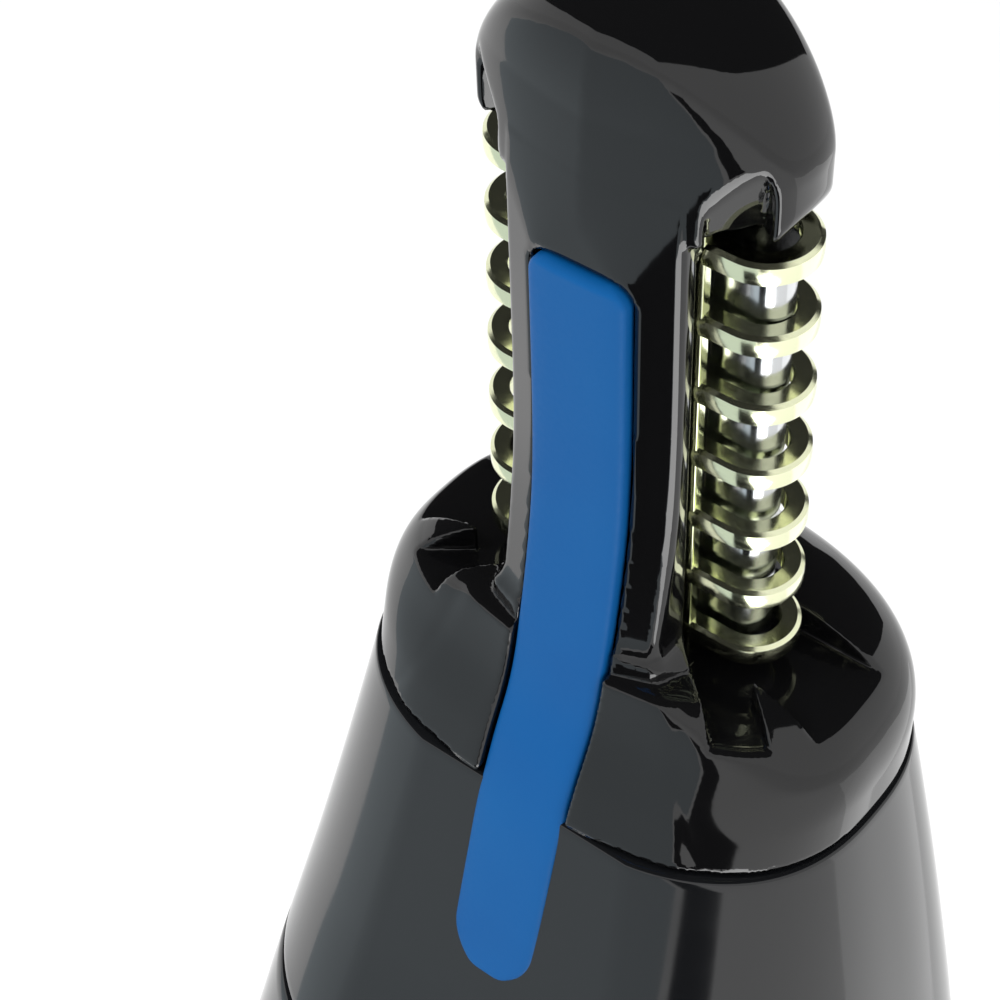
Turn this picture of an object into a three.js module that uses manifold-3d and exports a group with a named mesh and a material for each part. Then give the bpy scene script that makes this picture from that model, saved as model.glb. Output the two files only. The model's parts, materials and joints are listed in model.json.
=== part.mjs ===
// Nose hair trimmer with a forward-leaning reciprocating head, standing upright on its battery cap.
// Millimetres. +Z is up along the handle, -Y is the front (thumb side), +X is to the right seen
// from the front.
// The origin is the middle of the flat face under the battery cap.
// The cutting head is described in its own frame, the head frame: its axis is Z, its origin lies
// between the guard combs, and the whole frame leans forward by LEAN.

import * as THREE from 'three';
import { mergeVertices } from 'three/addons/utils/BufferGeometryUtils.js';
import Module from 'manifold-3d';

// ---------------------------------------------------------------- driving dimensions

const LEAN = THREE.MathUtils.degToRad(15);
const HEAD_HEIGHT = 128;           // height of the head frame's origin above the base face
const SEAM = -8.4;                 // joint between tower and skirt, in the head frame
const PARTING = -18.5;             // where the head pulls off the handle, in the head frame
const BEND = 30;                   // length over which the body bends from the head axis to upright
const GAP = 0.3;                   // clearance between neighbouring shells

const FIN_COUNT = 7;
const FIN_PITCH = 1.6;
const FIN_THICKNESS = 0.5;
const COMB_REACH = 3.54;           // axis to the nose of the middle fin
const COMB_TAPER = 0.0058;         // the combs widen downwards by this share per mm
const NOSE_RADIUS = 1.0;
const FIN_WALL = 0.42;
const BLADE_GAP = 0.1;             // between a blade and the fins round it
const COMB_ROOT = 1.55;            // inner edge of the combs
const COMB_LOW = -5.6;
const COMB_HIGH = 5.45;

const PILLAR_HALF_WIDTH = 1.9;
const PILLAR_FACET = 0.95;
const PILLAR_CHAMFER = 0.4;
const DUCT_HALF_WIDTH = 1.25;
const DUCT_HALF_DEPTH = 1.0;

const STRIP_HALF_WIDTH = 1.05;
const STRIP_THICKNESS = 0.5;
const STRIP_PROUD = 0.2;
const STRIP_TOP = 4.3;
const STRIP_TOP_ROUND = 0.42;      // corner radius of its upper end; the lower end is a half circle
const STRIP_BOTTOM = -13.1;

const SHELL_WALL = 1.6;
const SKIRT_WALL = 1.2;
const CAP_SPLIT = 20;              // height of the joint between handle and battery cap
const BODY_SEGMENTS = 36;

const CELL_RADIUS = 7.25;          // AA cell
const CELL_LENGTH = 50.5;
const CELL_BOTTOM = 13.5;
const TUBE_RADIUS = 7.95;
const TUBE_LOW = 12;
const TUBE_HIGH = 62;

const MOTOR_RADIUS = 6;
const MOTOR_FLAT = 5;
const MOTOR_LOW = 90;
const MOTOR_HIGH = 104;
const COUPLING = -19.5;            // where motor axis and head axis cross, in the head frame
const CAM_RADIUS = 2.0;
const CAM_LOW = -14.1;
const CAM_HIGH = -10.6;
const STROKE = 0.4;                // the blades move this far up and down from mid stroke
const FOLLOWER_RADIUS = 0.4;

const SWITCH_HEIGHT = 70;          // middle of the thumb switch in its off position
const SWITCH_TRAVEL = 4;
const SWITCH_HALF_WIDTH = 3.0;
const SWITCH_HALF_LENGTH = 5.0;

// ---------------------------------------------------------------- frames and outlines

const headMatrix = new THREE.Matrix4();
const seamToBend = BEND / 2;
const HEAD_OFFSET = (SEAM - seamToBend) * Math.sin(LEAN);
headMatrix.makeRotationX(LEAN);
headMatrix.setPosition(0, HEAD_OFFSET, HEAD_HEIGHT);

const headPoint = (x, y, z) => new THREE.Vector3(x, y, z).applyMatrix4(headMatrix);

// The body's centre line: down the head axis, a bend, then straight down the handle axis.
const seamCentre = headPoint(0, 0, SEAM);
const bendCorner = headPoint(0, 0, SEAM - seamToBend);
const bendEnd = new THREE.Vector3(0, 0, bendCorner.z - seamToBend);
const bendCurve = new THREE.QuadraticBezierCurve3(seamCentre, bendCorner, bendEnd);
const BODY_LENGTH = BEND + bendEnd.z;

// Smooth curve through [place, value] pairs, flat beyond both ends.
function smoothTable(table, place) {
  const last = table.length - 1;
  if (place <= table[0][0]) return table[0][1];
  if (place >= table[last][0]) return table[last][1];
  let i = 0;
  while (table[i + 1][0] < place) i += 1;
  const slope = (a, b) => (table[b][1] - table[a][1]) / (table[b][0] - table[a][0]);
  const step = table[i + 1][0] - table[i][0];
  const slopeIn = slope(Math.max(i - 1, 0), i + 1) * step;
  const slopeOut = slope(i, Math.min(i + 2, last)) * step;
  const t = (place - table[i][0]) / step;
  const t2 = t * t;
  const t3 = t2 * t;
  return (2 * t3 - 3 * t2 + 1) * table[i][1] + (t3 - 2 * t2 + t) * slopeIn
    + (3 * t2 - 2 * t3) * table[i + 1][1] + (t3 - t2) * slopeOut;
}

// Half sizes of the body, by distance below the seam along the centre line.
const HALF_WIDTH = [[0, 5.9], [6, 7.15], [12, 8.3], [20, 9.7], [30, 10.9], [45, 11.7], [60, 11.9],
  [90, 11.7], [120, 11.3]];
const FRONT_DEPTH = [[0, 4.1], [6, 5.75], [12, 7.6], [20, 9.0], [30, 9.6], [45, 9.9], [60, 10.0],
  [90, 10.1], [120, 10.0]];
const BACK_DEPTH = [[0, 4.25], [6, 5.3], [12, 6.5], [20, 8.0], [30, 9.3], [45, 10.0], [60, 10.1],
  [90, 10.1], [120, 10.0]];
const BODY_POWER = 2.5;

// One ring of the body: a superellipse with its own front and back depth, and a flattened front.
function bodyRing(distance, inset) {
  const bent = Math.min(distance, BEND) / BEND;
  const centre = bendCurve.getPoint(bent);
  const tangent = bendCurve.getTangent(bent);
  const lean = Math.atan2(tangent.y, -tangent.z);
  centre.z -= Math.max(distance - BEND, 0);
  const halfWidth = smoothTable(HALF_WIDTH, distance) - inset;
  const front = smoothTable(FRONT_DEPTH, distance) - inset;
  const back = smoothTable(BACK_DEPTH, distance) - inset;
  const ring = [];
  for (let i = 0; i < BODY_SEGMENTS; i += 1) {
    const angle = (i + 0.5) / BODY_SEGMENTS * 2 * Math.PI;
    const c = Math.cos(angle);
    const s = Math.sin(angle);
    const x = halfWidth * Math.sign(c) * Math.abs(c) ** (2 / BODY_POWER);
    const across = Math.sign(s) * Math.abs(s) ** (2 / BODY_POWER);
    const y = across < 0 ? Math.max(across * front * 1.06, -front) : across * back;
    ring.push(new THREE.Vector3(x, centre.y + y * Math.cos(lean), centre.z + y * Math.sin(lean)));
  }
  return ring;
}

// Front of the strip, measured forward from the head axis, by height in the head frame.
const STRIP_FRONT = [[-13.1, 5.62], [-12.2, 5.36], [-10.4, 4.84], [-9, 4.42], [-7.6, 3.85],
  [-6.2, 3.2], [-4.5, 2.8], [-2, 2.4], [0, 2.27], [4, 2.25]];

// ---------------------------------------------------------------- solid modelling helpers

const wasm = await Module();
wasm.setup();

// A closed solid from a geometry whose faces point outwards.
function solid(geometry) {
  const bare = geometry.clone();
  bare.deleteAttribute('normal');
  bare.deleteAttribute('uv');
  const merged = mergeVertices(bare, 1e-4);
  return new wasm.Manifold(new wasm.Mesh({
    numProp: 3,
    vertProperties: new Float32Array(merged.attributes.position.array),
    triVerts: new Uint32Array(merged.index.array),
  }));
}

function geometryOf(shape) {
  const mesh = shape.getMesh();
  const geometry = new THREE.BufferGeometry();
  geometry.setAttribute('position', new THREE.BufferAttribute(mesh.vertProperties, 3));
  geometry.setIndex(new THREE.BufferAttribute(mesh.triVerts, 1));
  geometry.computeVertexNormals();
  return geometry;
}

const join = (shapes) => shapes.reduce((whole, shape) => whole.add(shape));
const cut = (shape, tools) => tools.reduce((rest, tool) => rest.subtract(tool), shape);

// Skin over equal rings of points, the first ring at the top, with flat ends.
function loft(rings) {
  const count = rings[0].length;
  const positions = [];
  const faces = [];
  for (const ring of rings) {
    for (const p of ring) positions.push(p.x, p.y, p.z);
  }
  for (const ring of [rings[0], rings[rings.length - 1]]) {
    const middle = new THREE.Vector3();
    for (const p of ring) middle.addScaledVector(p, 1 / count);
    positions.push(middle.x, middle.y, middle.z);
  }
  const topMiddle = rings.length * count;
  const lowStart = (rings.length - 1) * count;
  for (let i = 0; i < count; i += 1) {
    const next = (i + 1) % count;
    for (let level = 0; level < rings.length - 1; level += 1) {
      const upper = level * count;
      const lower = upper + count;
      faces.push(upper + i, lower + i, lower + next);
      faces.push(upper + i, lower + next, upper + next);
    }
    faces.push(topMiddle, i, next);
    faces.push(topMiddle + 1, lowStart + next, lowStart + i);
  }
  const geometry = new THREE.BufferGeometry();
  geometry.setAttribute('position', new THREE.Float32BufferAttribute(positions, 3));
  geometry.setIndex(faces);
  return solid(geometry);
}

// A box between two corners.
function box(low, high) {
  const geometry = new THREE.BoxGeometry(high[0] - low[0], high[1] - low[1], high[2] - low[2]);
  geometry.translate((low[0] + high[0]) / 2, (low[1] + high[1]) / 2, (low[2] + high[2]) / 2);
  return solid(geometry);
}

// An upright cylinder.
function rod(radius, low, high, x = 0, y = 0, sides = 24) {
  const geometry = new THREE.CylinderGeometry(radius, radius, high - low, sides);
  geometry.rotateX(Math.PI / 2);
  geometry.translate(x, y, (low + high) / 2);
  return solid(geometry);
}

// A cylinder along Y, from the front end to the back end.
function rodAcross(radius, front, back, x, z, sides = 16) {
  const geometry = new THREE.CylinderGeometry(radius, radius, back - front, sides);
  geometry.translate(x, (front + back) / 2, z);
  return solid(geometry);
}

// A flat outline in X and Y, given thickness from low to high.
function plate(shape, low, high, curveSegments = 8) {
  const geometry = new THREE.ExtrudeGeometry(shape, {
    depth: high - low,
    bevelEnabled: false,
    curveSegments,
  });
  geometry.translate(0, 0, low);
  return solid(geometry);
}

// A rounded rectangle seen from the front, run through the body from front to back.
function windowPrism(halfWidth, low, high, radius, front, back) {
  const shape = new THREE.Shape();
  shape.moveTo(halfWidth, low + radius);
  shape.lineTo(halfWidth, high - radius);
  shape.absarc(halfWidth - radius, high - radius, radius, 0, Math.PI / 2, false);
  shape.absarc(radius - halfWidth, high - radius, radius, Math.PI / 2, Math.PI, false);
  shape.absarc(radius - halfWidth, low + radius, radius, Math.PI, Math.PI * 1.5, false);
  shape.absarc(halfWidth - radius, low + radius, radius, Math.PI * 1.5, Math.PI * 2, false);
  const geometry = new THREE.ExtrudeGeometry(shape, {
    depth: back - front,
    bevelEnabled: false,
    curveSegments: 5,
  });
  geometry.rotateX(Math.PI / 2);
  geometry.translate(0, back, 0);
  return solid(geometry);
}

// Ring with a round section, lying flat: an O-ring.
function sealRing(radiusX, radiusY, section, z) {
  const geometry = new THREE.TorusGeometry(radiusX, section, 5, 20);
  geometry.scale(1, radiusY / radiusX, 1);
  geometry.translate(0, 0, z);
  return solid(geometry);
}

const inHead = (shape) => shape.transform(headMatrix.toArray());

// ---------------------------------------------------------------- object and materials

const trimmer = new THREE.Group();
trimmer.name = 'nose_hair_trimmer';

function addPiece(name, shape, color, roughness, metalness) {
  const material = new THREE.MeshStandardMaterial({ color, roughness, metalness });
  const mesh = new THREE.Mesh(geometryOf(shape), material);
  mesh.name = name;
  trimmer.add(mesh);
}

const blackPlastic = [0x161618, 0.18, 0];
const greyPlastic = [0x28292b, 0.2, 0];
const whitePlastic = [0xd8d6cf, 0.5, 0];
const blueRubber = [0x2a6cab, 0.55, 0];
const darkRubber = [0x222426, 0.8, 0];
const steel = [0xb9bcbf, 0.25, 1];
const strawSteel = [0xc3c9a2, 0.15, 1];
const brass = [0xb59a52, 0.35, 1];
const cellWrap = [0x8a8f96, 0.4, 0.2];

// ---------------------------------------------------------------- head tower

// Half of an upright section: facet, chamfer and side wall, mirrored left to right and front to back.
function pillarRing(z, halfWidth, facet, front, back) {
  const bevel = PILLAR_CHAMFER;
  const outline = [[facet, -front], [halfWidth, bevel - front], [halfWidth, back - bevel],
    [facet, back], [-facet, back], [-halfWidth, back - bevel], [-halfWidth, bevel - front],
    [-facet, -front]];
  return outline.map(([x, y]) => new THREE.Vector3(x, y, z));
}

function ovalRing(z, halfWidth, front, back, power, count = 28) {
  const ring = [];
  for (let i = 0; i < count; i += 1) {
    const angle = (i + 0.5) / count * 2 * Math.PI;
    const c = Math.cos(angle);
    const s = Math.sin(angle);
    const depth = s < 0 ? front : back;
    const x = halfWidth * Math.sign(c) * Math.abs(c) ** (2 / power);
    const y = depth * Math.sign(s) * Math.abs(s) ** (2 / power);
    ring.push(new THREE.Vector3(x, y, z));
  }
  return ring;
}

// The front and back pillars with their flared feet, as one post.
function pillarPost() {
  const rings = [];
  for (const z of [6.2, 2, 0, -2, -3.5, -5, -6.2, -7.3, SEAM + GAP]) {
    const front = smoothTable(STRIP_FRONT, z) - STRIP_PROUD;
    const flare = Math.max(0, -z - 4) / 4.2;
    rings.push(pillarRing(z, PILLAR_HALF_WIDTH + flare, PILLAR_FACET + 0.2 * flare, front, front));
  }
  return loft(rings);
}

// The domed shoulder: a quarter ellipse that rises from the seam to the foot of the combs.
const SHOULDER_HEIGHT = 3.4;
const SHOULDER_POWER = 2.2;
const SHOULDER_TOP = [3.0, 2.0];         // half width and back depth at its top
const SHOULDER_SPREAD = [2.9, 2.25];     // how much each grows down to the seam

function shoulder(inset) {
  const rings = [];
  for (const rise of [1, 0.97, 0.88, 0.74, 0.55, 0.32, 0.09]) {
    const share = (1 - rise ** SHOULDER_POWER) ** (1 / SHOULDER_POWER);
    const [halfWidth, back] = SHOULDER_TOP.map((top, i) => top + SHOULDER_SPREAD[i] * share);
    const z = SEAM + rise * SHOULDER_HEIGHT;
    const front = smoothTable(STRIP_FRONT, z) - STRIP_PROUD;
    rings.push(ovalRing(z - inset, halfWidth - inset, front - inset, back - inset, BODY_POWER));
  }
  return loft(rings);
}

// The rounded cap over the combs. Its front runs on from the pillar's facet and chamfers, and its
// rim is bevelled. CAP_CORNER is a quarter of its outline, as half width and depth.
const CAP_CORNER = [[0.95, 2.05], [1.9, 1.62], [2.7, 1.18], [3.3, 0.6], [3.5, 0.2]];
const CAP_PROFILE = [[9.5, 0.06], [9.4, 0.22], [9.1, 0.39], [8.5, 0.6], [7.7, 0.81], [7.0, 0.95],
  [6.5, 1.0], [6.2, 1.0], [5.6, 0.86]];

function towerCap() {
  const back = [...CAP_CORNER].reverse();
  const outline = [
    ...CAP_CORNER.map(([x, y]) => [x, -y]),
    ...back,
    ...CAP_CORNER.map(([x, y]) => [-x, y]),
    ...back.map(([x, y]) => [-x, -y]),
  ];
  const ringAt = ([z, share]) => outline.map(([x, y]) => new THREE.Vector3(x * share, y * share, z));
  return loft(CAP_PROFILE.map(ringAt));
}

// Arched recess in the cap's side, over the top of a comb.
const ARCH_DEPTH_START = 2.3;
const ARCH_RADIUS = 1.0;
const ARCH_SPRING = 6.3;

function archNiche(side) {
  const inner = side * ARCH_DEPTH_START;
  const outer = side * 6;
  const [left, right] = [Math.min(inner, outer), Math.max(inner, outer)];
  const round = new THREE.CylinderGeometry(ARCH_RADIUS, ARCH_RADIUS, right - left, 20);
  round.rotateZ(Math.PI / 2);
  round.translate((left + right) / 2, 0, ARCH_SPRING);
  return join([solid(round), box([left, -ARCH_RADIUS, 5], [right, ARCH_RADIUS, ARCH_SPRING])]);
}

// The strip: a slightly crowned band with rounded ends that follows the head's front.
function strip(grow) {
  const rings = [];
  const length = STRIP_TOP - STRIP_BOTTOM;
  const steps = 24;
  for (let i = 0; i <= steps; i += 1) {
    const share = (1 - Math.cos(Math.PI * i / steps)) / 2;
    const z = STRIP_TOP - share * length;
    const corner = z > 0 ? STRIP_TOP_ROUND : STRIP_HALF_WIDTH;
    const fromEnd = Math.min(STRIP_TOP - z, z - STRIP_BOTTOM, corner);
    const sag = corner * (1 - Math.sqrt(1 - (1 - fromEnd / corner) ** 2));
    const halfWidth = Math.max(STRIP_HALF_WIDTH - sag, 0.2) + grow;
    const front = smoothTable(STRIP_FRONT, z) + grow;
    const back = front - STRIP_THICKNESS - 2 * grow;
    const edge = 0.18;
    const stretch = grow * (i === 0 ? 1 : 0) - grow * (i === steps ? 1 : 0);
    const outline = [[halfWidth - edge, -front], [halfWidth, edge - front], [halfWidth, -back],
      [-halfWidth, -back], [-halfWidth, edge - front], [edge - halfWidth, -front]];
    rings.push(outline.map(([x, y]) => new THREE.Vector3(x, y, z + stretch)));
  }
  return loft(rings);
}

const stripSlot = strip(0.1);
const cornerWindow = (side) => {
  const inner = side > 0 ? [DUCT_HALF_WIDTH - 0.05, -1.1, -5.75] : [-6, -1.1, -5.75];
  const outer = side > 0 ? [6, 1.1, 5.6] : [0.05 - DUCT_HALF_WIDTH, 1.1, 5.6];
  return box(inner, outer);
};
const duct = box([-DUCT_HALF_WIDTH, -DUCT_HALF_DEPTH, -9], [DUCT_HALF_WIDTH, DUCT_HALF_DEPTH, 5.6]);
const tower = cut(join([pillarPost(), shoulder(0), towerCap()]),
  [duct, cornerWindow(1), cornerWindow(-1), archNiche(1), archNiche(-1), shoulder(1.1), stripSlot]);
addPiece('head_tower', inHead(tower), ...blackPlastic);
addPiece('front_strip', inHead(strip(0)), ...blueRubber);

// ---------------------------------------------------------------- guard combs and cutter blades

// A bowed fin: straight flanks and a round nose, open towards the tower.
function finShape(reach, wall) {
  const centre = reach - NOSE_RADIUS;
  const shape = new THREE.Shape();
  shape.moveTo(COMB_ROOT, -NOSE_RADIUS);
  shape.lineTo(centre, -NOSE_RADIUS);
  shape.absarc(centre, 0, NOSE_RADIUS, -Math.PI / 2, Math.PI / 2, false);
  shape.lineTo(COMB_ROOT, NOSE_RADIUS);
  shape.lineTo(COMB_ROOT, NOSE_RADIUS - wall);
  shape.lineTo(centre, NOSE_RADIUS - wall);
  shape.absarc(centre, 0, NOSE_RADIUS - wall, Math.PI / 2, -Math.PI / 2, true);
  shape.lineTo(COMB_ROOT, wall - NOSE_RADIUS);
  shape.closePath();
  return shape;
}

const finHeights = Array.from({ length: FIN_COUNT }, (_, i) => ((FIN_COUNT - 1) / 2 - i) * FIN_PITCH);

function guardComb() {
  const parts = [];
  for (const z of finHeights) {
    const reach = COMB_REACH * (1 - COMB_TAPER * z);
    parts.push(plate(finShape(reach, FIN_WALL), z - FIN_THICKNESS / 2, z + FIN_THICKNESS / 2, 5));
  }
  for (const side of [-1, 1]) {
    const near = side * (NOSE_RADIUS - FIN_WALL);
    const far = side * NOSE_RADIUS;
    parts.push(box([COMB_ROOT, Math.min(near, far), COMB_LOW],
      [COMB_ROOT + 0.4, Math.max(near, far), COMB_HIGH]));
  }
  return join(parts);
}

// The blade behind the fins: a rounded bar with a shallow slot behind every fin.
const SLOT_START = 0.15;           // from the nose's centre
const SLOT_HALF = 0.2;
function cutterBlade() {
  const shape = new THREE.Shape();
  const centre = COMB_REACH - NOSE_RADIUS;
  const radius = NOSE_RADIUS - FIN_WALL - BLADE_GAP;
  shape.moveTo(1.3, -radius);
  shape.lineTo(centre, -radius);
  shape.absarc(centre, 0, radius, -Math.PI / 2, Math.PI / 2, false);
  shape.lineTo(1.3, radius);
  shape.closePath();
  const slots = finHeights.map((z) => box([centre + SLOT_START, -1, z - SLOT_HALF],
    [centre + 1, 1, z + SLOT_HALF]));
  return cut(plate(shape, -5.25, 5.15, 6), slots);
}

const mirrorX = (shape) => shape.scale([-1, 1, 1]);
const comb = guardComb();
const blade = cutterBlade();
addPiece('guard_comb_right', inHead(comb), ...strawSteel);
addPiece('guard_comb_left', inHead(mirrorX(comb)), ...strawSteel);
addPiece('cutter_blade_right', inHead(blade), ...steel);
addPiece('cutter_blade_left', inHead(mirrorX(blade)), ...steel);

// ---------------------------------------------------------------- drive inside the head

// The carriage that joins both blades, with an arm that reaches down behind the cam.
const STEM_HALF_WIDTH = 1.1;
const STEM_HALF_DEPTH = 0.8;
const STEM_LOW = -9.6;
const STEM_HIGH = 5.0;
const ARM_HALF_WIDTH = 0.9;
const ARM_FRONT = 2.35;
const ARM_BACK = 3.0;
const ARM_LOW = -13.4;
const BRACKET_HIGH = -8.9;
const carriage = join([
  box([-STEM_HALF_WIDTH, -STEM_HALF_DEPTH, STEM_LOW], [STEM_HALF_WIDTH, STEM_HALF_DEPTH, STEM_HIGH]),
  box([-ARM_HALF_WIDTH, -STEM_HALF_DEPTH, STEM_LOW], [ARM_HALF_WIDTH, ARM_BACK, BRACKET_HIGH]),
  box([-ARM_HALF_WIDTH, ARM_FRONT, ARM_LOW], [ARM_HALF_WIDTH, ARM_BACK, STEM_LOW + 0.3]),
]);
addPiece('blade_carriage', inHead(carriage), ...whitePlastic);
const camMiddle = (CAM_LOW + CAM_HIGH) / 2;
const followerPin = rodAcross(FOLLOWER_RADIUS, CAM_RADIUS - 0.45, ARM_FRONT - 0.05, 0, camMiddle);
addPiece('follower_pin', inHead(followerPin), ...steel);

// The barrel cam: a drum with a groove round it.
const grooveHalf = FOLLOWER_RADIUS + STROKE + 0.1;
const GROOVE_DEPTH = 0.6;
const SHAFT_RADIUS = 0.6;
const SHAFT_LOW = -18.2;
const SHAFT_HIGH = -10.0;
const SHAFT_BORE = SHAFT_RADIUS + 0.05;
const camBarrel = cut(rod(CAM_RADIUS, CAM_LOW, CAM_HIGH), [
  cut(rod(CAM_RADIUS + 1, camMiddle - grooveHalf, camMiddle + grooveHalf),
    [rod(CAM_RADIUS - GROOVE_DEPTH, camMiddle - grooveHalf - 1, camMiddle + grooveHalf + 1)]),
  rod(SHAFT_BORE, CAM_LOW - 1, CAM_HIGH + 1, 0, 0, 16),
]);
addPiece('barrel_cam', inHead(camBarrel), ...whitePlastic);
addPiece('cam_shaft', inHead(rod(SHAFT_RADIUS, SHAFT_LOW, SHAFT_HIGH, 0, 0, 16)), ...steel);

// The slotted cup that takes the cross pin of the motor shaft.
const CUP_RADIUS = 2.2;
const CUP_BORE = 1.45;
const CUP_DEPTH = 1.1;             // below the coupling point
const CUP_CEILING = COUPLING + 0.95;
const CUP_TOP = COUPLING + 2.15;
const CUP_SLOT = 0.6;              // half width of the slot for the cross pin
const driveCup = cut(rod(CUP_RADIUS, COUPLING - CUP_DEPTH, CUP_TOP), [
  rod(CUP_BORE, COUPLING - 2, CUP_CEILING),
  rod(SHAFT_BORE, COUPLING, CUP_TOP + 1, 0, 0, 16),
  box([-3, -CUP_SLOT, COUPLING - 2], [3, CUP_SLOT, CUP_CEILING]),
]);
addPiece('drive_cup', inHead(driveCup), ...whitePlastic);

// Bearing plate across the skirt, bored for the cam shaft.
const PLATE_HIGH = -14.35;
const PLATE_LOW = -15.1;
const plateRing = (z) => ovalRing(z, 5.3, 4.0, 3.6, BODY_POWER);
const bearingPlate = cut(loft([plateRing(PLATE_HIGH), plateRing(PLATE_LOW)]),
  [rod(SHAFT_RADIUS + 0.1, PLATE_LOW - 1, PLATE_HIGH + 1, 0, 0, 16)]);
addPiece('bearing_plate', inHead(bearingPlate), ...greyPlastic);

// ---------------------------------------------------------------- body shells

const BODY_STATIONS = [0.15, 3, 6, 9, 12, 16, 20, 25, 30, 37, 45, 60, 80, 100, 115,
  BODY_LENGTH - 1.6, BODY_LENGTH - 0.5, BODY_LENGTH];
const EDGE_ROUND = new Map([[BODY_LENGTH - 0.5, 0.45], [BODY_LENGTH, 1.5]]);

function bodyBetween(start, end, inset) {
  const inside = BODY_STATIONS.filter((d) => d > start + 0.5 && d < end - 0.4);
  const stations = [start, ...inside, end];
  return loft(stations.map((d) => bodyRing(d, inset + (EDGE_ROUND.get(d) || 0))));
}

const outerBody = bodyBetween(0.15, BODY_LENGTH, 0);
const headSide = inHead(box([-30, -30, PARTING + GAP / 2], [30, 30, 30]));
const handleSide = inHead(box([-30, -60, -170], [30, 60, PARTING - GAP / 2]));
const aboveCap = box([-30, -30, CAP_SPLIT + GAP / 2], [30, 30, HEAD_HEIGHT]);
const belowCap = box([-30, -30, -1], [30, 30, CAP_SPLIT - GAP / 2]);

// Skirt of the head, open below, with the carriage's way through its top.
const skirtHollow = bodyBetween(0.8, 16, SKIRT_WALL);
const skirtTopHole = inHead(box([-2, -1.3, -12], [2, 3.1, -8]));
const skirt = cut(outerBody.intersect(headSide), [skirtHollow, skirtTopHole, inHead(stripSlot)]);
addPiece('head_skirt', skirt, ...greyPlastic);

// Collar on the handle that the skirt slides over.
const COLLAR_HALF_WIDTH = 5.2;
const COLLAR_HALF_DEPTH = 3.8;
const COLLAR_WALL = 0.9;
const COLLAR_TOP = -15.6;
const FLANGE_TOP = -21.0;
const FLANGE_LOW = -22.2;
const SEAL_HEIGHT = -17.2;
const SEAL_SECTION = 0.25;
const flangeRing = (z) => ovalRing(z, 6.2, 5.2, 4.2, BODY_POWER);
const collarRing = (z, inset) => ovalRing(z, COLLAR_HALF_WIDTH - inset, COLLAR_HALF_DEPTH - inset,
  COLLAR_HALF_DEPTH - inset, 2);
const collarRod = (top, low, inset) => loft([collarRing(top, inset), collarRing(low, inset)]);
const collarSeal = (section) => sealRing(COLLAR_HALF_WIDTH + 0.1, COLLAR_HALF_DEPTH + 0.1, section,
  SEAL_HEIGHT);
const collar = cut(join([loft([flangeRing(FLANGE_TOP), flangeRing(FLANGE_LOW)]),
  collarRod(COLLAR_TOP, FLANGE_TOP - 0.5, 0)]),
[collarRod(COLLAR_TOP + 0.6, FLANGE_LOW - 0.8, COLLAR_WALL), collarSeal(SEAL_SECTION + 0.08)]);
addPiece('neck_collar', inHead(collar), ...greyPlastic);
addPiece('collar_seal', inHead(collarSeal(SEAL_SECTION)), ...darkRubber);

// Handle: two shells that meet on a plane across the middle.
const handleHollow = bodyBetween(8, BODY_LENGTH - 0.5, SHELL_WALL);
const handleShell = cut(outerBody.intersect(handleSide).intersect(aboveCap), [handleHollow]);
const frontHalf = box([-30, -30, -1], [30, -GAP / 2, 140]);
const rearHalf = box([-30, GAP / 2, -1], [30, 30, 140]);

const PANEL_LOW = 46;
const PANEL_HIGH = 88;
const PANEL_HALF_WIDTH = 5.6;
const panelSkin = (grow, depth) => windowPrism(PANEL_HALF_WIDTH + grow, PANEL_LOW - grow,
  PANEL_HIGH + grow, PANEL_HALF_WIDTH + grow - 0.2, -20, 0)
  .intersect(bodyBetween(10, BODY_LENGTH - 10, -0.4).subtract(bodyBetween(9, BODY_LENGTH - 9, depth)));
const slotLow = SWITCH_HEIGHT - SWITCH_HALF_LENGTH - 0.4;
const slotHigh = SWITCH_HEIGHT + SWITCH_TRAVEL + SWITCH_HALF_LENGTH + 0.4;
const switchSlot = windowPrism(SWITCH_HALF_WIDTH + 0.4, slotLow, slotHigh, 2.6, -20, 0);
const frontShell = cut(handleShell.intersect(frontHalf), [panelSkin(0.15, 0.95), switchSlot]);
addPiece('front_shell', frontShell, ...greyPlastic);
addPiece('thumb_panel', cut(panelSkin(0, 0.8), [switchSlot]), ...darkRubber);

const REAR_PANEL_LOW = 40;
const REAR_PANEL_HIGH = 80;
const rearSkin = (grow, depth) => windowPrism(6 + grow, REAR_PANEL_LOW - grow, REAR_PANEL_HIGH + grow,
  5.5, 0, 20)
  .intersect(bodyBetween(10, BODY_LENGTH - 10, -0.3).subtract(bodyBetween(9, BODY_LENGTH - 9, depth)));

// Two screws hold the shells together from behind.
const SCREW_HEIGHTS = { upper: 86, lower: 30 };
const screwSeat = (z) => smoothTable(BACK_DEPTH, BODY_LENGTH - z) - 1.1;
const screwTools = [];
for (const z of Object.values(SCREW_HEIGHTS)) {
  screwTools.push(rodAcross(1.9, screwSeat(z), 20, 0, z));
  screwTools.push(rodAcross(1.0, 2, 20, 0, z));
}
const rearShell = cut(handleShell.intersect(rearHalf), [rearSkin(0.15, 0.95), ...screwTools]);
addPiece('rear_shell', rearShell, ...greyPlastic);
addPiece('rear_grip', rearSkin(0, 0.8), ...darkRubber);

for (const [place, z] of Object.entries(SCREW_HEIGHTS)) {
  const seat = screwSeat(z) + 0.05;
  const cross = join([box([-0.9, seat + 0.35, z - 0.16], [0.9, 11, z + 0.16]),
    box([-0.16, seat + 0.35, z - 0.9], [0.16, 11, z + 0.9])]);
  const screw = join([rodAcross(1.7, seat, seat + 0.8, 0, z), rodAcross(0.8, seat - 0.8, seat + 0.1, 0, z)]);
  addPiece(`shell_screw_${place}`, cut(screw, [cross]), ...steel);
}

// ---------------------------------------------------------------- thumb switch

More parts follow.
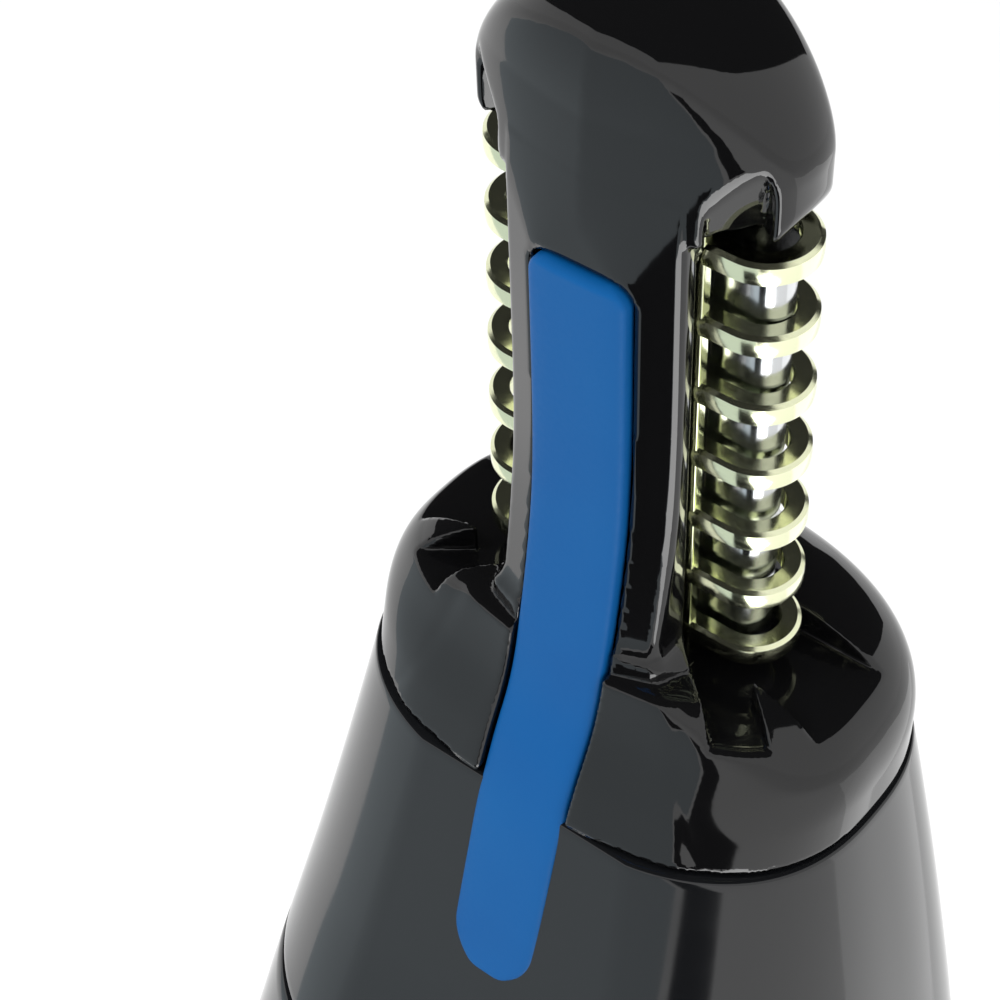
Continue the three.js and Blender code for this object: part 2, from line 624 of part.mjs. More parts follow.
const switchFront = -11.3;
function switchButton() {
  const body = windowPrism(SWITCH_HALF_WIDTH, SWITCH_HEIGHT - SWITCH_HALF_LENGTH,
    SWITCH_HEIGHT + SWITCH_HALF_LENGTH, 2.4, switchFront, -7.2);
  const ridges = [];
  for (const step of [-2.2, -1.1, 0, 1.1, 2.2]) {
    ridges.push(box([-2.2, switchFront - 1, SWITCH_HEIGHT + step - 0.25],
      [2.2, switchFront + 0.35, SWITCH_HEIGHT + step + 0.25]));
  }
  return cut(body, ridges);
}
addPiece('switch_button', switchButton(), ...blueRubber);
addPiece('switch_wiper', box([-2, -7.1, SWITCH_HEIGHT - 4], [2, -6.8, SWITCH_HEIGHT + 4]), ...brass);
addPiece('switch_contact', box([-2, -6.6, SWITCH_HEIGHT + 3], [2, -6.3, SWITCH_HEIGHT + 9]), ...brass);

// ---------------------------------------------------------------- motor

const motorY = headPoint(0, 0, COUPLING).y;
const couplingHeight = headPoint(0, 0, COUPLING).z;
const motorFlats = box([-20, motorY - MOTOR_FLAT, 0], [20, motorY + MOTOR_FLAT, 140]);
const canShape = rod(MOTOR_RADIUS, MOTOR_LOW, MOTOR_HIGH, 0, motorY, 32);
const motorCan = join([canShape.intersect(motorFlats), rod(2, MOTOR_HIGH - 0.2, MOTOR_HIGH + 1, 0, motorY)]);
addPiece('motor_can', cut(motorCan, [rod(0.6, MOTOR_LOW + 3, MOTOR_HIGH + 2, 0, motorY, 16)]), ...steel);
const bellShape = rod(MOTOR_RADIUS - 0.3, MOTOR_LOW - 2.2, MOTOR_LOW - 0.1, 0, motorY, 32);
const bellFlats = box([-20, motorY - MOTOR_FLAT + 0.3, 0], [20, motorY + MOTOR_FLAT - 0.3, 140]);
const endBell = bellShape.intersect(bellFlats);
addPiece('motor_end_bell', endBell, ...whitePlastic);
for (const [name, side] of [['left', -1], ['right', 1]]) {
  addPiece(`motor_terminal_${name}`, box([side * 3 - 0.8, motorY - 0.2, MOTOR_LOW - 4.6],
    [side * 3 + 0.8, motorY + 0.2, MOTOR_LOW - 2.3]), ...brass);
}
addPiece('motor_shaft', rod(0.5, MOTOR_LOW + 3.5, couplingHeight - 1.0, 0, motorY, 16), ...steel);

const ball = new THREE.SphereGeometry(1.0, 14, 10);
ball.rotateX(Math.PI / 2);
ball.translate(0, motorY, couplingHeight);
const crossPin = new THREE.CylinderGeometry(0.3, 0.3, 3.4, 12);
crossPin.rotateZ(Math.PI / 2);
crossPin.translate(0, motorY, couplingHeight);
const dog = join([solid(ball), solid(crossPin)]);
addPiece('drive_dog', cut(dog, [rod(0.55, couplingHeight - 2, couplingHeight - 0.9, 0, motorY, 16)]),
  ...steel);

// Cradle that holds the motor's lower end, with a hole for the terminals.
const cradleRing = bodyBetween(20, BODY_LENGTH - 15, SHELL_WALL + GAP)
  .intersect(box([-20, -20, MOTOR_LOW - 2.4], [20, 20, MOTOR_LOW + 4]));
const cradle = cut(cradleRing, [rod(MOTOR_RADIUS + 0.1, MOTOR_LOW - 5, MOTOR_LOW + 9, 0, motorY, 32)]);
addPiece('motor_cradle', cradle, ...whitePlastic);

// ---------------------------------------------------------------- battery

const TUBE_WALL = 0.45;
const tube = cut(rod(TUBE_RADIUS, TUBE_LOW, TUBE_HIGH, 0, 0, 36),
  [rod(TUBE_RADIUS - TUBE_WALL, TUBE_LOW - 1, TUBE_HIGH + 1, 0, 0, 36)]);
addPiece('battery_tube', tube, ...whitePlastic);
const cellTop = CELL_BOTTOM + CELL_LENGTH;
const cell = join([rod(CELL_RADIUS, CELL_BOTTOM, cellTop - 1, 0, 0, 36),
  rod(2.7, cellTop - 1.5, cellTop, 0, 0, 20)]);
addPiece('battery_cell', cell, ...cellWrap);
addPiece('positive_contact', join([box([-3, -3, cellTop + 0.05], [3, 3, cellTop + 0.45]),
  box([-1.5, 2.7, cellTop + 0.05], [1.5, 3.1, MOTOR_LOW - 5])]), ...brass);
addPiece('bus_strip', box([8.3, -1.5, 22], [8.6, 1.5, MOTOR_LOW - 6]), ...brass);

// ---------------------------------------------------------------- battery cap

const capHollow = bodyBetween(90, BODY_LENGTH - 3, 1.5);
const capBoss = rod(4, 2.5, 6, 0, 0, 24);
const cap = cut(outerBody.intersect(belowCap), [capHollow]).add(capBoss);
addPiece('battery_cap', cap, ...greyPlastic);
addPiece('cap_contact', rod(5, 6.1, 6.5, 0, 0, 24), ...brass);

// Conical coil that presses on the cell's flat end.
class ConicalCoil extends THREE.Curve {
  getPoint(t) {
    const turns = 3;
    const radius = 4.2 - 1.8 * t;
    const angle = t * turns * 2 * Math.PI;
    return new THREE.Vector3(radius * Math.cos(angle), radius * Math.sin(angle), 6.95 + 6.0 * t);
  }
}
const wire = new THREE.Shape();
wire.absarc(0, 0, 0.35, 0, Math.PI * 2, false);
const coilGeometry = new THREE.ExtrudeGeometry(wire, {
  steps: 42,
  extrudePath: new ConicalCoil(),
  curveSegments: 3,
});
addPiece('negative_spring', solid(coilGeometry), ...steel);
addPiece('cap_seal', sealRing(8.22, 8.22, 0.2, 16), ...darkRubber);

export default trimmer;
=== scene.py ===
# %% [markdown]
# # A nose hair trimmer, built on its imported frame
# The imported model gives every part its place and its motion. This lesson covers the visible parts
# with finer skins: moulded shells, a ribbed steel comb, a soft blue strip, and the finish of each.

# %% Load the frame
import json
import math

import bpy
import numpy as np
from mathutils import Matrix, Vector


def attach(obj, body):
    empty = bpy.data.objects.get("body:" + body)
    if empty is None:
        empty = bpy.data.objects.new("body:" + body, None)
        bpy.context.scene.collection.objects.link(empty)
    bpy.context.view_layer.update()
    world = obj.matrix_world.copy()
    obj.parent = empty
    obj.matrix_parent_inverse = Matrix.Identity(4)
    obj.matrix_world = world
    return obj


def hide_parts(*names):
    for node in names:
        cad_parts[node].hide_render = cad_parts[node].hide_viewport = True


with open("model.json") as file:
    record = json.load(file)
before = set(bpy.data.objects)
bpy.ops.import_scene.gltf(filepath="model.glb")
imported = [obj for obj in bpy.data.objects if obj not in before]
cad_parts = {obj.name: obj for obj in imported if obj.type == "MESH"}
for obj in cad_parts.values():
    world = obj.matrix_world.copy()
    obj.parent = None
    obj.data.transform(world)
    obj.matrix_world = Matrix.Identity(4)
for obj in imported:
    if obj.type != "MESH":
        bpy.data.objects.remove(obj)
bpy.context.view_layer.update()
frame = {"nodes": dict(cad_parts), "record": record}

# %% [markdown]
# ## Sizes and the two frames
# Shapes are worked out in millimetres and turned into metres when a mesh is made. The head leans
# forward of the handle, so it has a frame of its own: its axis is Z, its origin lies between the combs.

# %% Sizes and the two frames
MM = 0.001
TAU = 2 * math.pi
LEAN = math.radians(15)
HEAD_HEIGHT = 128.0
SEAM = -8.4
PARTING = -18.5
BEND = 30.0
HEAD_OFFSET = (SEAM - BEND / 2) * math.sin(LEAN)
HEAD_TURN = np.array([
    [1, 0, 0],
    [0, math.cos(LEAN), -math.sin(LEAN)],
    [0, math.sin(LEAN), math.cos(LEAN)],
])
HEAD_ORIGIN = np.array([0, HEAD_OFFSET, HEAD_HEIGHT])


def in_row(points):
    """Head frame to row frame: turn by the lean about X, then move to the head's origin."""
    return np.asarray(points, float) @ HEAD_TURN.T + HEAD_ORIGIN


def smooth_table(table, place):
    """Cubic through (place, value) pairs, each slope the chord between its neighbours, flat outside."""
    at, value = np.array(table, float).T
    place = np.clip(place, at[0], at[-1])
    i = np.clip(np.searchsorted(at, place, side="right") - 1, 0, len(at) - 2)
    before, after = np.maximum(i - 1, 0), np.minimum(i + 2, len(at) - 1)
    step = at[i + 1] - at[i]
    slope_in = (value[i + 1] - value[before]) / (at[i + 1] - at[before]) * step
    slope_out = (value[after] - value[i]) / (at[after] - at[i]) * step
    t = (place - at[i]) / step
    return (
        (2 * t**3 - 3 * t**2 + 1) * value[i] + (t**3 - 2 * t**2 + t) * slope_in
        + (3 * t**2 - 2 * t**3) * value[i + 1] + (t**3 - t**2) * slope_out
    )


print("head origin", HEAD_ORIGIN.round(2), "mm")

# %% [markdown]
# ## Mesh helpers
# Every piece is a grid of points worked out in one go. One function lists the quads of such a grid,
# one closes its two ends, and one makes the mesh, with its place in the mesh and not in the object.

# %% Mesh helpers
def mesh_piece(name, points, faces, material, body, nodes=(), sharp=None):
    """Object at the origin whose place is in its mesh; points in mm, faces a list of index arrays."""
    mesh = bpy.data.meshes.new(name)
    lists = [part.tolist() for part in faces]
    mesh.from_pydata((np.asarray(points, float) * MM).tolist(), [], sum(lists, []))
    mesh.validate()
    mesh.polygons.foreach_set("use_smooth", np.ones(len(mesh.polygons), bool))
    if sharp is not None:
        mesh.set_sharp_from_angle(angle=math.radians(sharp))
    mesh.materials.append(material)
    piece = bpy.data.objects.new(name, mesh)
    bpy.context.scene.collection.objects.link(piece)
    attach(piece, body)
    if nodes:
        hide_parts(*nodes)
    print(f"{name}: {len(points)} points, {len(mesh.polygons)} faces")
    return piece


def grid_quads(rows, columns, wrap_columns=True, wrap_rows=False, start=0):
    """Quads between neighbours of a rows x columns grid, outward when columns run anticlockwise
    seen from the last row's side."""
    r = np.arange(rows if wrap_rows else rows - 1)[:, None]
    c = np.arange(columns if wrap_columns else columns - 1)[None, :]
    r2, c2 = (r + 1) % rows, (c + 1) % columns
    quads = np.stack(
        [r * columns + c, r * columns + c2, r2 * columns + c2, r2 * columns + c], axis=-1)
    return quads.reshape(-1, 4) + start


def closed_loft(rings):
    """Rings (rows, columns, 3) from low to high as a closed skin: side quads and a fan at each end."""
    rows, columns, _ = rings.shape
    points = np.concatenate([rings.reshape(-1, 3), rings[:1].mean(1), rings[-1:].mean(1)])
    here = np.arange(columns)
    after = (here + 1) % columns
    low, high = rows * columns, rows * columns + 1
    top = (rows - 1) * columns
    fans = np.stack([
        np.stack([np.full(columns, low), after, here], axis=-1),
        np.stack([np.full(columns, high), here + top, after + top], axis=-1),
    ]).reshape(-1, 3)
    return points, [grid_quads(rows, columns), fans]


def joined(parts):
    """Several (points, faces) skins as one."""
    points, faces, count = [], [], 0
    for part_points, part_faces in parts:
        points.append(part_points)
        faces.extend(face + count for face in part_faces)
        count += len(part_points)
    return np.concatenate(points), faces


# %% [markdown]
# ## Material helpers
# A finish is a Principled shader whose sockets are set straight on, and a few nodes that vary what is
# never quite even on a real surface. One function adds any node, so each finish reads as a list of
# nodes. Patterns hang on object coordinates, which stay put when a part moves.

# %% Material helpers
def colour(code):
    """sRGB hex to linear: each channel ((c + 0.055) / 1.055) to the power 2.4, a straight line near 0."""
    channels = [int(code[i:i + 2], 16) / 255 for i in (1, 3, 5)]
    linear = [c / 12.92 if c <= 0.04045 else ((c + 0.055) / 1.055) ** 2.4 for c in channels]
    return (*linear, 1.0)


def add_node(material, kind, settings=(), inputs=(), links=()):
    """Adds a node, sets its properties and inputs, and links other nodes' sockets into it."""
    node = material.node_tree.nodes.new(kind)
    for key, value in dict(settings).items():
        setattr(node, key, value)
    for key, value in dict(inputs).items():
        node.inputs[key].default_value = value
    for key, socket in dict(links).items():
        material.node_tree.links.new(socket, node.inputs[key])
    return node


def new_material(name, inputs):
    """A material with one Principled shader, and object coordinates to hang patterns on."""
    material = bpy.data.materials.new(name)
    material.use_nodes = True
    shader = material.node_tree.nodes["Principled BSDF"]
    for key, value in inputs.items():
        shader.inputs[key].default_value = value
    place = add_node(material, "ShaderNodeTexCoord").outputs["Object"]
    return material, shader, place


def per_metre(size_mm):
    """Noise scale whose features are about size_mm across."""
    return 1 / (size_mm * MM)


MIDDLE = {"From Min": 0.3, "From Max": 0.7}
print("black #0c0c0d in linear:", [round(c, 4) for c in colour("#0c0c0d")[:3]])

# %% [markdown]
# ## Polished black ABS
# The housing is ABS from a polished tool: nearly black inside, so that what the eye sees is almost
# all reflection. A plain black shader would look computed, so the roughness wanders over a few
# millimetres, as handling leaves it, and a ripple 1.5 thousandths of a millimetre deep bends reflections.

# %% Polished black ABS
HAZE_SIZE, RIPPLE_SIZE, RIPPLE_DEPTH = 3.5, 1.6, 0.0015


def polished_abs(name, base, rough_low, rough_high):
    """ABS moulded in a polished tool: deep colour, clear reflections, faint haze from handling."""
    material, shader, place = new_material(
        name, {"IOR": 1.54, "Metallic": 0.0, "Base Color": colour(base)})
    haze = add_node(material, "ShaderNodeTexNoise",
                    inputs={"Scale": per_metre(HAZE_SIZE), "Detail": 3.0}, links={"Vector": place})
    rough = add_node(material, "ShaderNodeMapRange",
                     inputs={**MIDDLE, "To Min": rough_low, "To Max": rough_high},
                     links={"Value": haze.outputs["Fac"]})
    ripple = add_node(material, "ShaderNodeTexNoise",
                      inputs={"Scale": per_metre(RIPPLE_SIZE), "Detail": 1.0},
                      links={"Vector": place})
    bent = add_node(material, "ShaderNodeBump", inputs={"Distance": RIPPLE_DEPTH * MM},
                    links={"Height": ripple.outputs["Fac"]})
    material.node_tree.links.new(rough.outputs["Result"], shader.inputs["Roughness"])
    material.node_tree.links.new(bent.outputs["Normal"], shader.inputs["Normal"])
    return material


black_abs = polished_abs("polished_black_abs", "#0c0c0d", 0.03, 0.07)
body_abs = polished_abs("polished_charcoal_abs", "#111214", 0.05, 0.11)
print("finishes:", black_abs.name, body_abs.name)

# %% [markdown]
# ## Moulded rubber and plain plastic
# The strip, the switch and the pads are TPE, a soft rubber from a spark-eroded tool, which leaves a
# fine pebble grain and a satin surface. The drive parts are acetal without colour, waxy and a little
# translucent, and the cell has a printed film. All three are one recipe: two shades mixed in patches,
# and a grain that drives both the roughness and the height, so the two agree as they do on a mould.

# %% Rubber, acetal and film
def moulded(name, shades, rough, swing, patch_mm, grain_mm, depth_mm, detail, stretch, inputs):
    """Two shades in patches, and a grain that varies roughness by swing either way and raises the
    surface by depth. stretch below 1 draws the pattern out along that axis."""
    material, shader, place = new_material(name, inputs)
    turned = add_node(material, "ShaderNodeMapping", inputs={"Scale": stretch},
                      links={"Vector": place})
    patches, grain = [
        add_node(material, "ShaderNodeTexNoise",
                 inputs={"Scale": per_metre(size), "Detail": detail},
                 links={"Vector": turned.outputs["Vector"]}).outputs["Fac"]
        for size in (patch_mm, grain_mm)]
    share = add_node(material, "ShaderNodeMapRange", inputs={**MIDDLE, "To Min": 0.0, "To Max": 1.0},
                     links={"Value": patches})
    mix = add_node(material, "ShaderNodeMix", settings={"data_type": "RGBA"},
                   links={"Factor": share.outputs["Result"]})
    mix.inputs[6].default_value = colour(shades[0])
    mix.inputs[7].default_value = colour(shades[1])
    matt = add_node(material, "ShaderNodeMapRange",
                    inputs={**MIDDLE, "To Min": rough - swing, "To Max": rough + swing},
                    links={"Value": grain})
    raised = add_node(material, "ShaderNodeBump", inputs={"Distance": depth_mm * MM},
                      links={"Height": grain})
    material.node_tree.links.new(mix.outputs[2], shader.inputs["Base Color"])
    material.node_tree.links.new(matt.outputs["Result"], shader.inputs["Roughness"])
    material.node_tree.links.new(raised.outputs["Normal"], shader.inputs["Normal"])
    return material


EVEN, FLOWING = (1, 1, 1), (1, 1, 0.3)
WAXY = {"IOR": 1.48, "Subsurface Weight": 0.08, "Subsurface Scale": 0.001}
blue_rubber = moulded("satin_blue_tpe", ("#095694", "#085190"), 0.5, 0.05, 4.0, 0.12, 0.003, 2.0, EVEN,
                      {"IOR": 1.5, "Specular IOR Level": 0.1})
dark_rubber = moulded("matt_charcoal_tpe", ("#26282b", "#1f2124"), 0.62, 0.05, 4.0, 0.25, 0.02,
                      2.0, EVEN, {"IOR": 1.5, "Specular IOR Level": 0.3})
acetal = moulded("natural_acetal", ("#e2dfd6", "#d6d2c6"), 0.45, 0.06, 2.5, 2.5, 0.004, 3.0,
                 FLOWING, WAXY)
cell_film = moulded("cell_film", ("#5d6670", "#4e5761"), 0.32, 0.06, 3.0, 3.0, 0.004, 3.0,
                    FLOWING, WAXY)
print("finishes:", blue_rubber.name, dark_rubber.name, acetal.name, cell_film.name)

# %% [markdown]
# ## Steel and brass
# Combs and blades are stainless strip, ground and then polished, the motor's can is plated and the
# contacts are stamped brass. A metal is a coloured mirror, so colour sits in the base and the finish in
# the roughness. The comb's pale yellow-green base is painted reflection: it stands in for the studio's
# coloured surroundings, not a tint of the steel. Grinding leaves marks along one way, which the
# stretched noise draws.

# %% Steel and brass
MARK_DEPTH = 0.0008


def steel(name, base, rough_low, rough_high, mark_mm, stretch):
    """Coloured mirror whose fine grinding marks lie along one axis."""
    material, shader, place = new_material(name, {"Metallic": 1.0, "Base Color": colour(base)})
    turned = add_node(material, "ShaderNodeMapping", inputs={"Scale": stretch},
                      links={"Vector": place})
    marks = add_node(material, "ShaderNodeTexNoise",
                     inputs={"Scale": per_metre(mark_mm), "Detail": 3.0},
                     links={"Vector": turned.outputs["Vector"]})
    rough = add_node(material, "ShaderNodeMapRange",
                     inputs={**MIDDLE, "To Min": rough_low, "To Max": rough_high},
                     links={"Value": marks.outputs["Fac"]})
    scored = add_node(material, "ShaderNodeBump", inputs={"Distance": MARK_DEPTH * MM},
                      links={"Height": marks.outputs["Fac"]})
    material.node_tree.links.new(rough.outputs["Result"], shader.inputs["Roughness"])
    material.node_tree.links.new(scored.outputs["Normal"], shader.inputs["Normal"])
    return material


# Painted reflection: the comb's pale yellow-green base stands in for the studio's coloured surroundings;
# the steel itself is plain stainless.
comb_steel = steel("comb_steel_painted_green_reflection", "#ecefca", 0.1, 0.2, 0.3, (1, 1, 4))
blade_steel = steel("ground_blade_steel", "#c9cbcc", 0.1, 0.22, 0.25, (1, 1, 0.15))
motor_steel = steel("plated_motor_steel", "#b4b6b8", 0.25, 0.4, 0.8, (1, 1, 0.2))
contact_brass = steel("stamped_brass", "#c9a050", 0.2, 0.35, 0.6, (0.3, 1, 1))
print("finishes:", comb_steel.name, blade_steel.name, motor_steel.name, contact_brass.name)

# %% [markdown]
# ## Body rings
# The body follows a centre line that runs down the head's axis, bends, and goes straight down the
# handle. Every ring is a superellipse with its own width, front depth and back depth.

# %% Body rings
HALF_WIDTH = [(0, 5.9), (6, 7.15), (12, 8.3), (20, 9.7), (30, 10.9), (45, 11.7), (60, 11.9),
              (90, 11.7), (120, 11.3)]
FRONT_DEPTH = [(0, 4.1), (6, 5.75), (12, 7.6), (20, 9.0), (30, 9.6), (45, 9.9), (60, 10.0),
               (90, 10.1), (120, 10.0)]
BACK_DEPTH = [(0, 4.25), (6, 5.3), (12, 6.5), (20, 8.0), (30, 9.3), (45, 10.0), (60, 10.1),
              (90, 10.1), (120, 10.0)]
BODY_POWER = 2.5
FRONT_FULLNESS = 1.06
seam_centre = in_row([0, 0, SEAM])
bend_corner = in_row([0, 0, SEAM - BEND / 2])
bend_end = bend_corner - [0, 0, BEND / 2]
BODY_LENGTH = BEND + bend_end[2]


def signed_power(value, power):
    return np.sign(value) * np.abs(value) ** power


def body_ring(distance, inset, angle):
    """Points of the body's rings. Along the centre line a quadratic Bezier bends, then a straight
    line falls. Across, x = width c^(2/n) and y = depth s^(2/n) with c, s the cosine and sine of
    angle, the front flattened where it would pass its depth. Arrays distance and inset give rows,
    angle gives columns."""
    distance = np.asarray(distance, float)[:, None]
    inset = np.broadcast_to(np.asarray(inset, float).reshape(-1, 1), distance.shape)
    t = np.minimum(distance, BEND)[..., None] / BEND
    centre = (1 - t) ** 2 * seam_centre + 2 * t * (1 - t) * bend_corner + t**2 * bend_end
    along = (1 - t) * (bend_corner - seam_centre) + t * (bend_end - bend_corner)
    lean = np.arctan2(along[..., 1], -along[..., 2])
    c, s = np.cos(angle)[None], np.sin(angle)[None]
    across = signed_power(s, 2 / BODY_POWER)
    x = (smooth_table(HALF_WIDTH, distance) - inset) * signed_power(c, 2 / BODY_POWER)
    front = smooth_table(FRONT_DEPTH, distance) - inset
    back = smooth_table(BACK_DEPTH, distance) - inset
    y = np.where(across < 0, np.maximum(across * front * FRONT_FULLNESS, -front), across * back)
    fall = np.maximum(distance - BEND, 0)
    return np.stack([
        x,
        centre[..., 1] + y * np.cos(lean),
        centre[..., 2] - fall + y * np.sin(lean),
    ], axis=-1)


def below_seam(height):
    """Distance along the centre line for a height on the straight part of the handle."""
    return BODY_LENGTH - height


def surface_depth(x, z, front):
    """How far in front of (or behind) the handle's axis its surface lies at x and height z:
    depth (1 - |x / width|^n)^(1/n), held flat at the front."""
    d = below_seam(z)
    share = (1 - np.abs(x / smooth_table(HALF_WIDTH, d)) ** BODY_POWER) ** (1 / BODY_POWER)
    if front:
        depth = smooth_table(FRONT_DEPTH, d)
        return np.minimum(depth * FRONT_FULLNESS * share, depth)
    return smooth_table(BACK_DEPTH, d) * share


print("body length", round(BODY_LENGTH, 2), "mm")

# %% [markdown]
# ## Camera
# The camera stands close above the head, a little to its right, with a portrait lens. Its place and
# aim are given in the head's own frame, because the head is what it looks at.

# %% Camera
CAMERA_PLACE = [18.83, -26.46, 30.63]
CAMERA_AIM = [-1.45, -2.66, -1.73]
CAMERA_ROLL = math.radians(-2.56)
CAMERA_LENS = 85.3

camera = bpy.data.objects.new("camera", bpy.data.cameras.new("camera"))
bpy.context.scene.collection.objects.link(camera)
bpy.context.scene.camera = camera
camera.data.lens = CAMERA_LENS
camera.data.sensor_width = 36
camera.data.clip_start = 0.002
place, aim = in_row(CAMERA_PLACE), in_row(CAMERA_AIM)
backward = (place - aim) / np.linalg.norm(place - aim)
sideways = np.cross(HEAD_TURN[:, 2], backward)
sideways /= np.linalg.norm(sideways)
upward = np.cross(backward, sideways)
rolled = math.cos(CAMERA_ROLL) * sideways + math.sin(CAMERA_ROLL) * upward
rolled_up = math.cos(CAMERA_ROLL) * upward - math.sin(CAMERA_ROLL) * sideways
turn = np.eye(4)
turn[:3, 0], turn[:3, 1], turn[:3, 2] = rolled, rolled_up, backward
turn[:3, 3] = place * MM
camera.matrix_world = Matrix(turn.tolist())
print("camera at", place.round(1), "mm")

# %% [markdown]
# ## Surround, floor and cards
# A white surround lights everything softly, on a pale paper floor. Black plastic only shows what it
# mirrors, so level cards that the camera doesn't see give its facets their dark and light sides. They
# are left out of diffuse light and shadows, so the floor doesn't show them either.

# %% Surround and floor
world = bpy.data.worlds.new("white_surround")
bpy.context.scene.world = world
world.use_nodes = True
world.node_tree.nodes["Background"].inputs["Color"].default_value = (1, 1, 1, 1)
world.node_tree.nodes["Background"].inputs["Strength"].default_value = 1.0
bpy.context.scene.view_settings.view_transform = "Standard"


def card(name, low, high, z, glow, tint="#ffffff"):
    """A level rectangle at height z, seen only in reflections: a flag if dark, a light if bright."""
    material = bpy.data.materials.new(name)
    material.use_nodes = True
    shader = material.node_tree.nodes["Principled BSDF"]
    shader.inputs["Base Color"].default_value = (0, 0, 0, 1)
    shader.inputs["Specular IOR Level"].default_value = 0
    shader.inputs["Emission Color"].default_value = colour(tint)
    shader.inputs["Emission Strength"].default_value = glow
    (x0, y0), (x1, y1) = low, high
    mesh = bpy.data.meshes.new(name)
    corners = np.array([[x0, y0, z], [x1, y0, z], [x1, y1, z], [x0, y1, z]]) * MM
    mesh.from_pydata(corners.tolist(), [], [[0, 1, 2, 3]])
    mesh.materials.append(material)
    piece = bpy.data.objects.new(name, mesh)
    bpy.context.scene.collection.objects.link(piece)
    piece.visible_camera = False
    piece.visible_diffuse = False
    piece.visible_shadow = False
    piece.visible_transmission = False
    return piece


floor_material, _, _ = new_material(
    "pale_paper_floor", {"Roughness": 0.9, "Base Color": colour("#f7f7f7")})
floor_mesh = bpy.data.meshes.new("floor")
FLOOR_REACH = 4000
floor_corners = np.array([[-1, -1, 0], [1, -1, 0], [1, 1, 0], [-1, 1, 0]]) * FLOOR_REACH * MM
floor_mesh.from_pydata(floor_corners.tolist(), [], [[0, 1, 2, 3]])
floor_mesh.materials.append(floor_material)
floor = bpy.data.objects.new("floor", floor_mesh)
bpy.context.scene.collection.objects.link(floor)
print("floor reaches", FLOOR_REACH, "mm each way")

# %% [markdown]
# ## Cards and lamps
# Each card is a rectangle low corner, high corner, height in mm and glow. The dark ones are flags.

# %% Cards and lamps
card("ceiling_flag", (-1500, -1500), (260, 1500), 420, 0.03)
card("pillar_flag", (-16, -125), (40, -34), 2, 0.01)
card("stripe_flag", (70, -420), (120, -120), 2, 0.01)
card("nose_light", (44, -100), (110, -20), 4, 5.0)
card("back_light", (60, 90), (420, 420), 4, 1.5)
card("front_shade", (-600, -600), (60, -30), 1, 0.85, "#e4f0f6")


def area_light(name, spot, target, size, power, tint):
    """A soft square lamp at spot, aimed at target, in mm and watts."""
    lamp = bpy.data.lights.new(name, "AREA")
    lamp.shape = "SQUARE"
    lamp.size = size * MM
    lamp.energy = power
    lamp.color = colour(tint)[:3]
    holder = bpy.data.objects.new(name, lamp)
    bpy.context.scene.collection.objects.link(holder)
    holder.location = [v * MM for v in spot]
    aim_at = Vector([t - s for t, s in zip(target, spot)])
    holder.rotation_euler = aim_at.to_track_quat("-Z", "Y").to_euler()
    holder.visible_glossy = False
    return holder


area_light("key_left", (-350, -450, 500), (0, 0, 110), 300, 1.6, "#ffffff")
area_light("fill_right", (450, -150, 350), (0, 0, 110), 350, 0.6, "#ffffff")

# %% [markdown]
# ## A skin on a field
# The head tower is one moulding: a bullet-shaped cap, two pillars under it, pockets for the combs
# between them, and a domed shoulder. Such a blend of soft edges has no simple grid, so it is written as
# a distance field, negative inside, and a net of quads is laid on its zero level.

# %% Skin on a field
PROBE = 0.01


def field_skin(field, low, high, step):
    """Surface net: one point in each cell that the zero level crosses, at the mean of its edge
    crossings, one quad round each crossed edge, and two Newton steps onto the field's zero."""
    axes = [np.arange(a, b + step, step) for a, b in zip(low, high)]
    x, y, z = np.meshgrid(*axes, indexing="ij")
    value = field(x, y, z)
    inside = value < 0
    shape = np.array(value.shape) - 1
    total = np.zeros((*shape, 3))
    count = np.zeros(shape)
    crossed = {}
    for axis in range(3):
        ahead = np.roll(value, -1, axis)
        hit = inside != np.roll(inside, -1, axis)
        cut_end = [slice(None)] * 3
        cut_end[axis] = slice(-1, None)
        hit[tuple(cut_end)] = False
        crossed[axis] = hit
        share = np.where(hit, value / np.where(hit, value - ahead, 1.0), 0.0)
        others = [a for a in range(3) if a != axis]
        for shift in ((0, 0), (0, 1), (1, 0), (1, 1)):
            window = [slice(0, n) for n in shape]
            for other, move in zip(others, shift):
                window[other] = slice(move, move + shape[other])
            window = tuple(window)
            place = np.zeros((*shape, 3))
            place[..., axis] = share[window]
            place[..., others[0]] = shift[0]
            place[..., others[1]] = shift[1]
            total += np.where(hit[window][..., None], place, 0.0)
            count += hit[window]
    cells = np.argwhere(count > 0)
    number = np.full(shape, -1)
    number[tuple(cells.T)] = np.arange(len(cells))
    points = total[tuple(cells.T)] / count[tuple(cells.T)][:, None]
    points = np.array(low) + (cells + points) * step
    quads = []
    for axis in range(3):
        others = [(axis + 1) % 3, (axis + 2) % 3]
        edges = np.argwhere(crossed[axis])
        edges = edges[(edges[:, others] > 0).all(1)]
        edges = edges[(edges[:, others] < shape[others]).all(1)]
        corner = []
        for shift in ((0, 0), (-1, 0), (-1, -1), (0, -1)):
            cell = edges.copy()
            cell[:, others[0]] += shift[0]
            cell[:, others[1]] += shift[1]
            corner.append(number[tuple(cell.T)])
        quad = np.stack(corner, axis=-1)
        leaving = inside[tuple(edges.T)]
        quads.append(np.where(leaving[:, None], quad, quad[:, ::-1]))
    for _ in range(2):
        here = field(*points.T)
        slope = np.stack([
            (field(*(points + move).T) - field(*(points - move).T)) / (2 * PROBE)
            for move in np.eye(3) * PROBE
        ], axis=-1)
        length = np.maximum((slope**2).sum(1), 0.05)
        move = (here / length)[:, None] * slope
        size = np.linalg.norm(move, axis=1, keepdims=True)
        points = points - move * np.minimum(1, 0.6 * step / np.maximum(size, 1e-9))
    return points, [np.concatenate(quads)]


ball, _ = field_skin(lambda x, y, z: np.sqrt(x**2 + y**2 + z**2) - 1, (-1.5,) * 3, (1.5,) * 3, 0.25)
print("radius of a test ball:", np.linalg.norm(ball, axis=1).min().round(3))

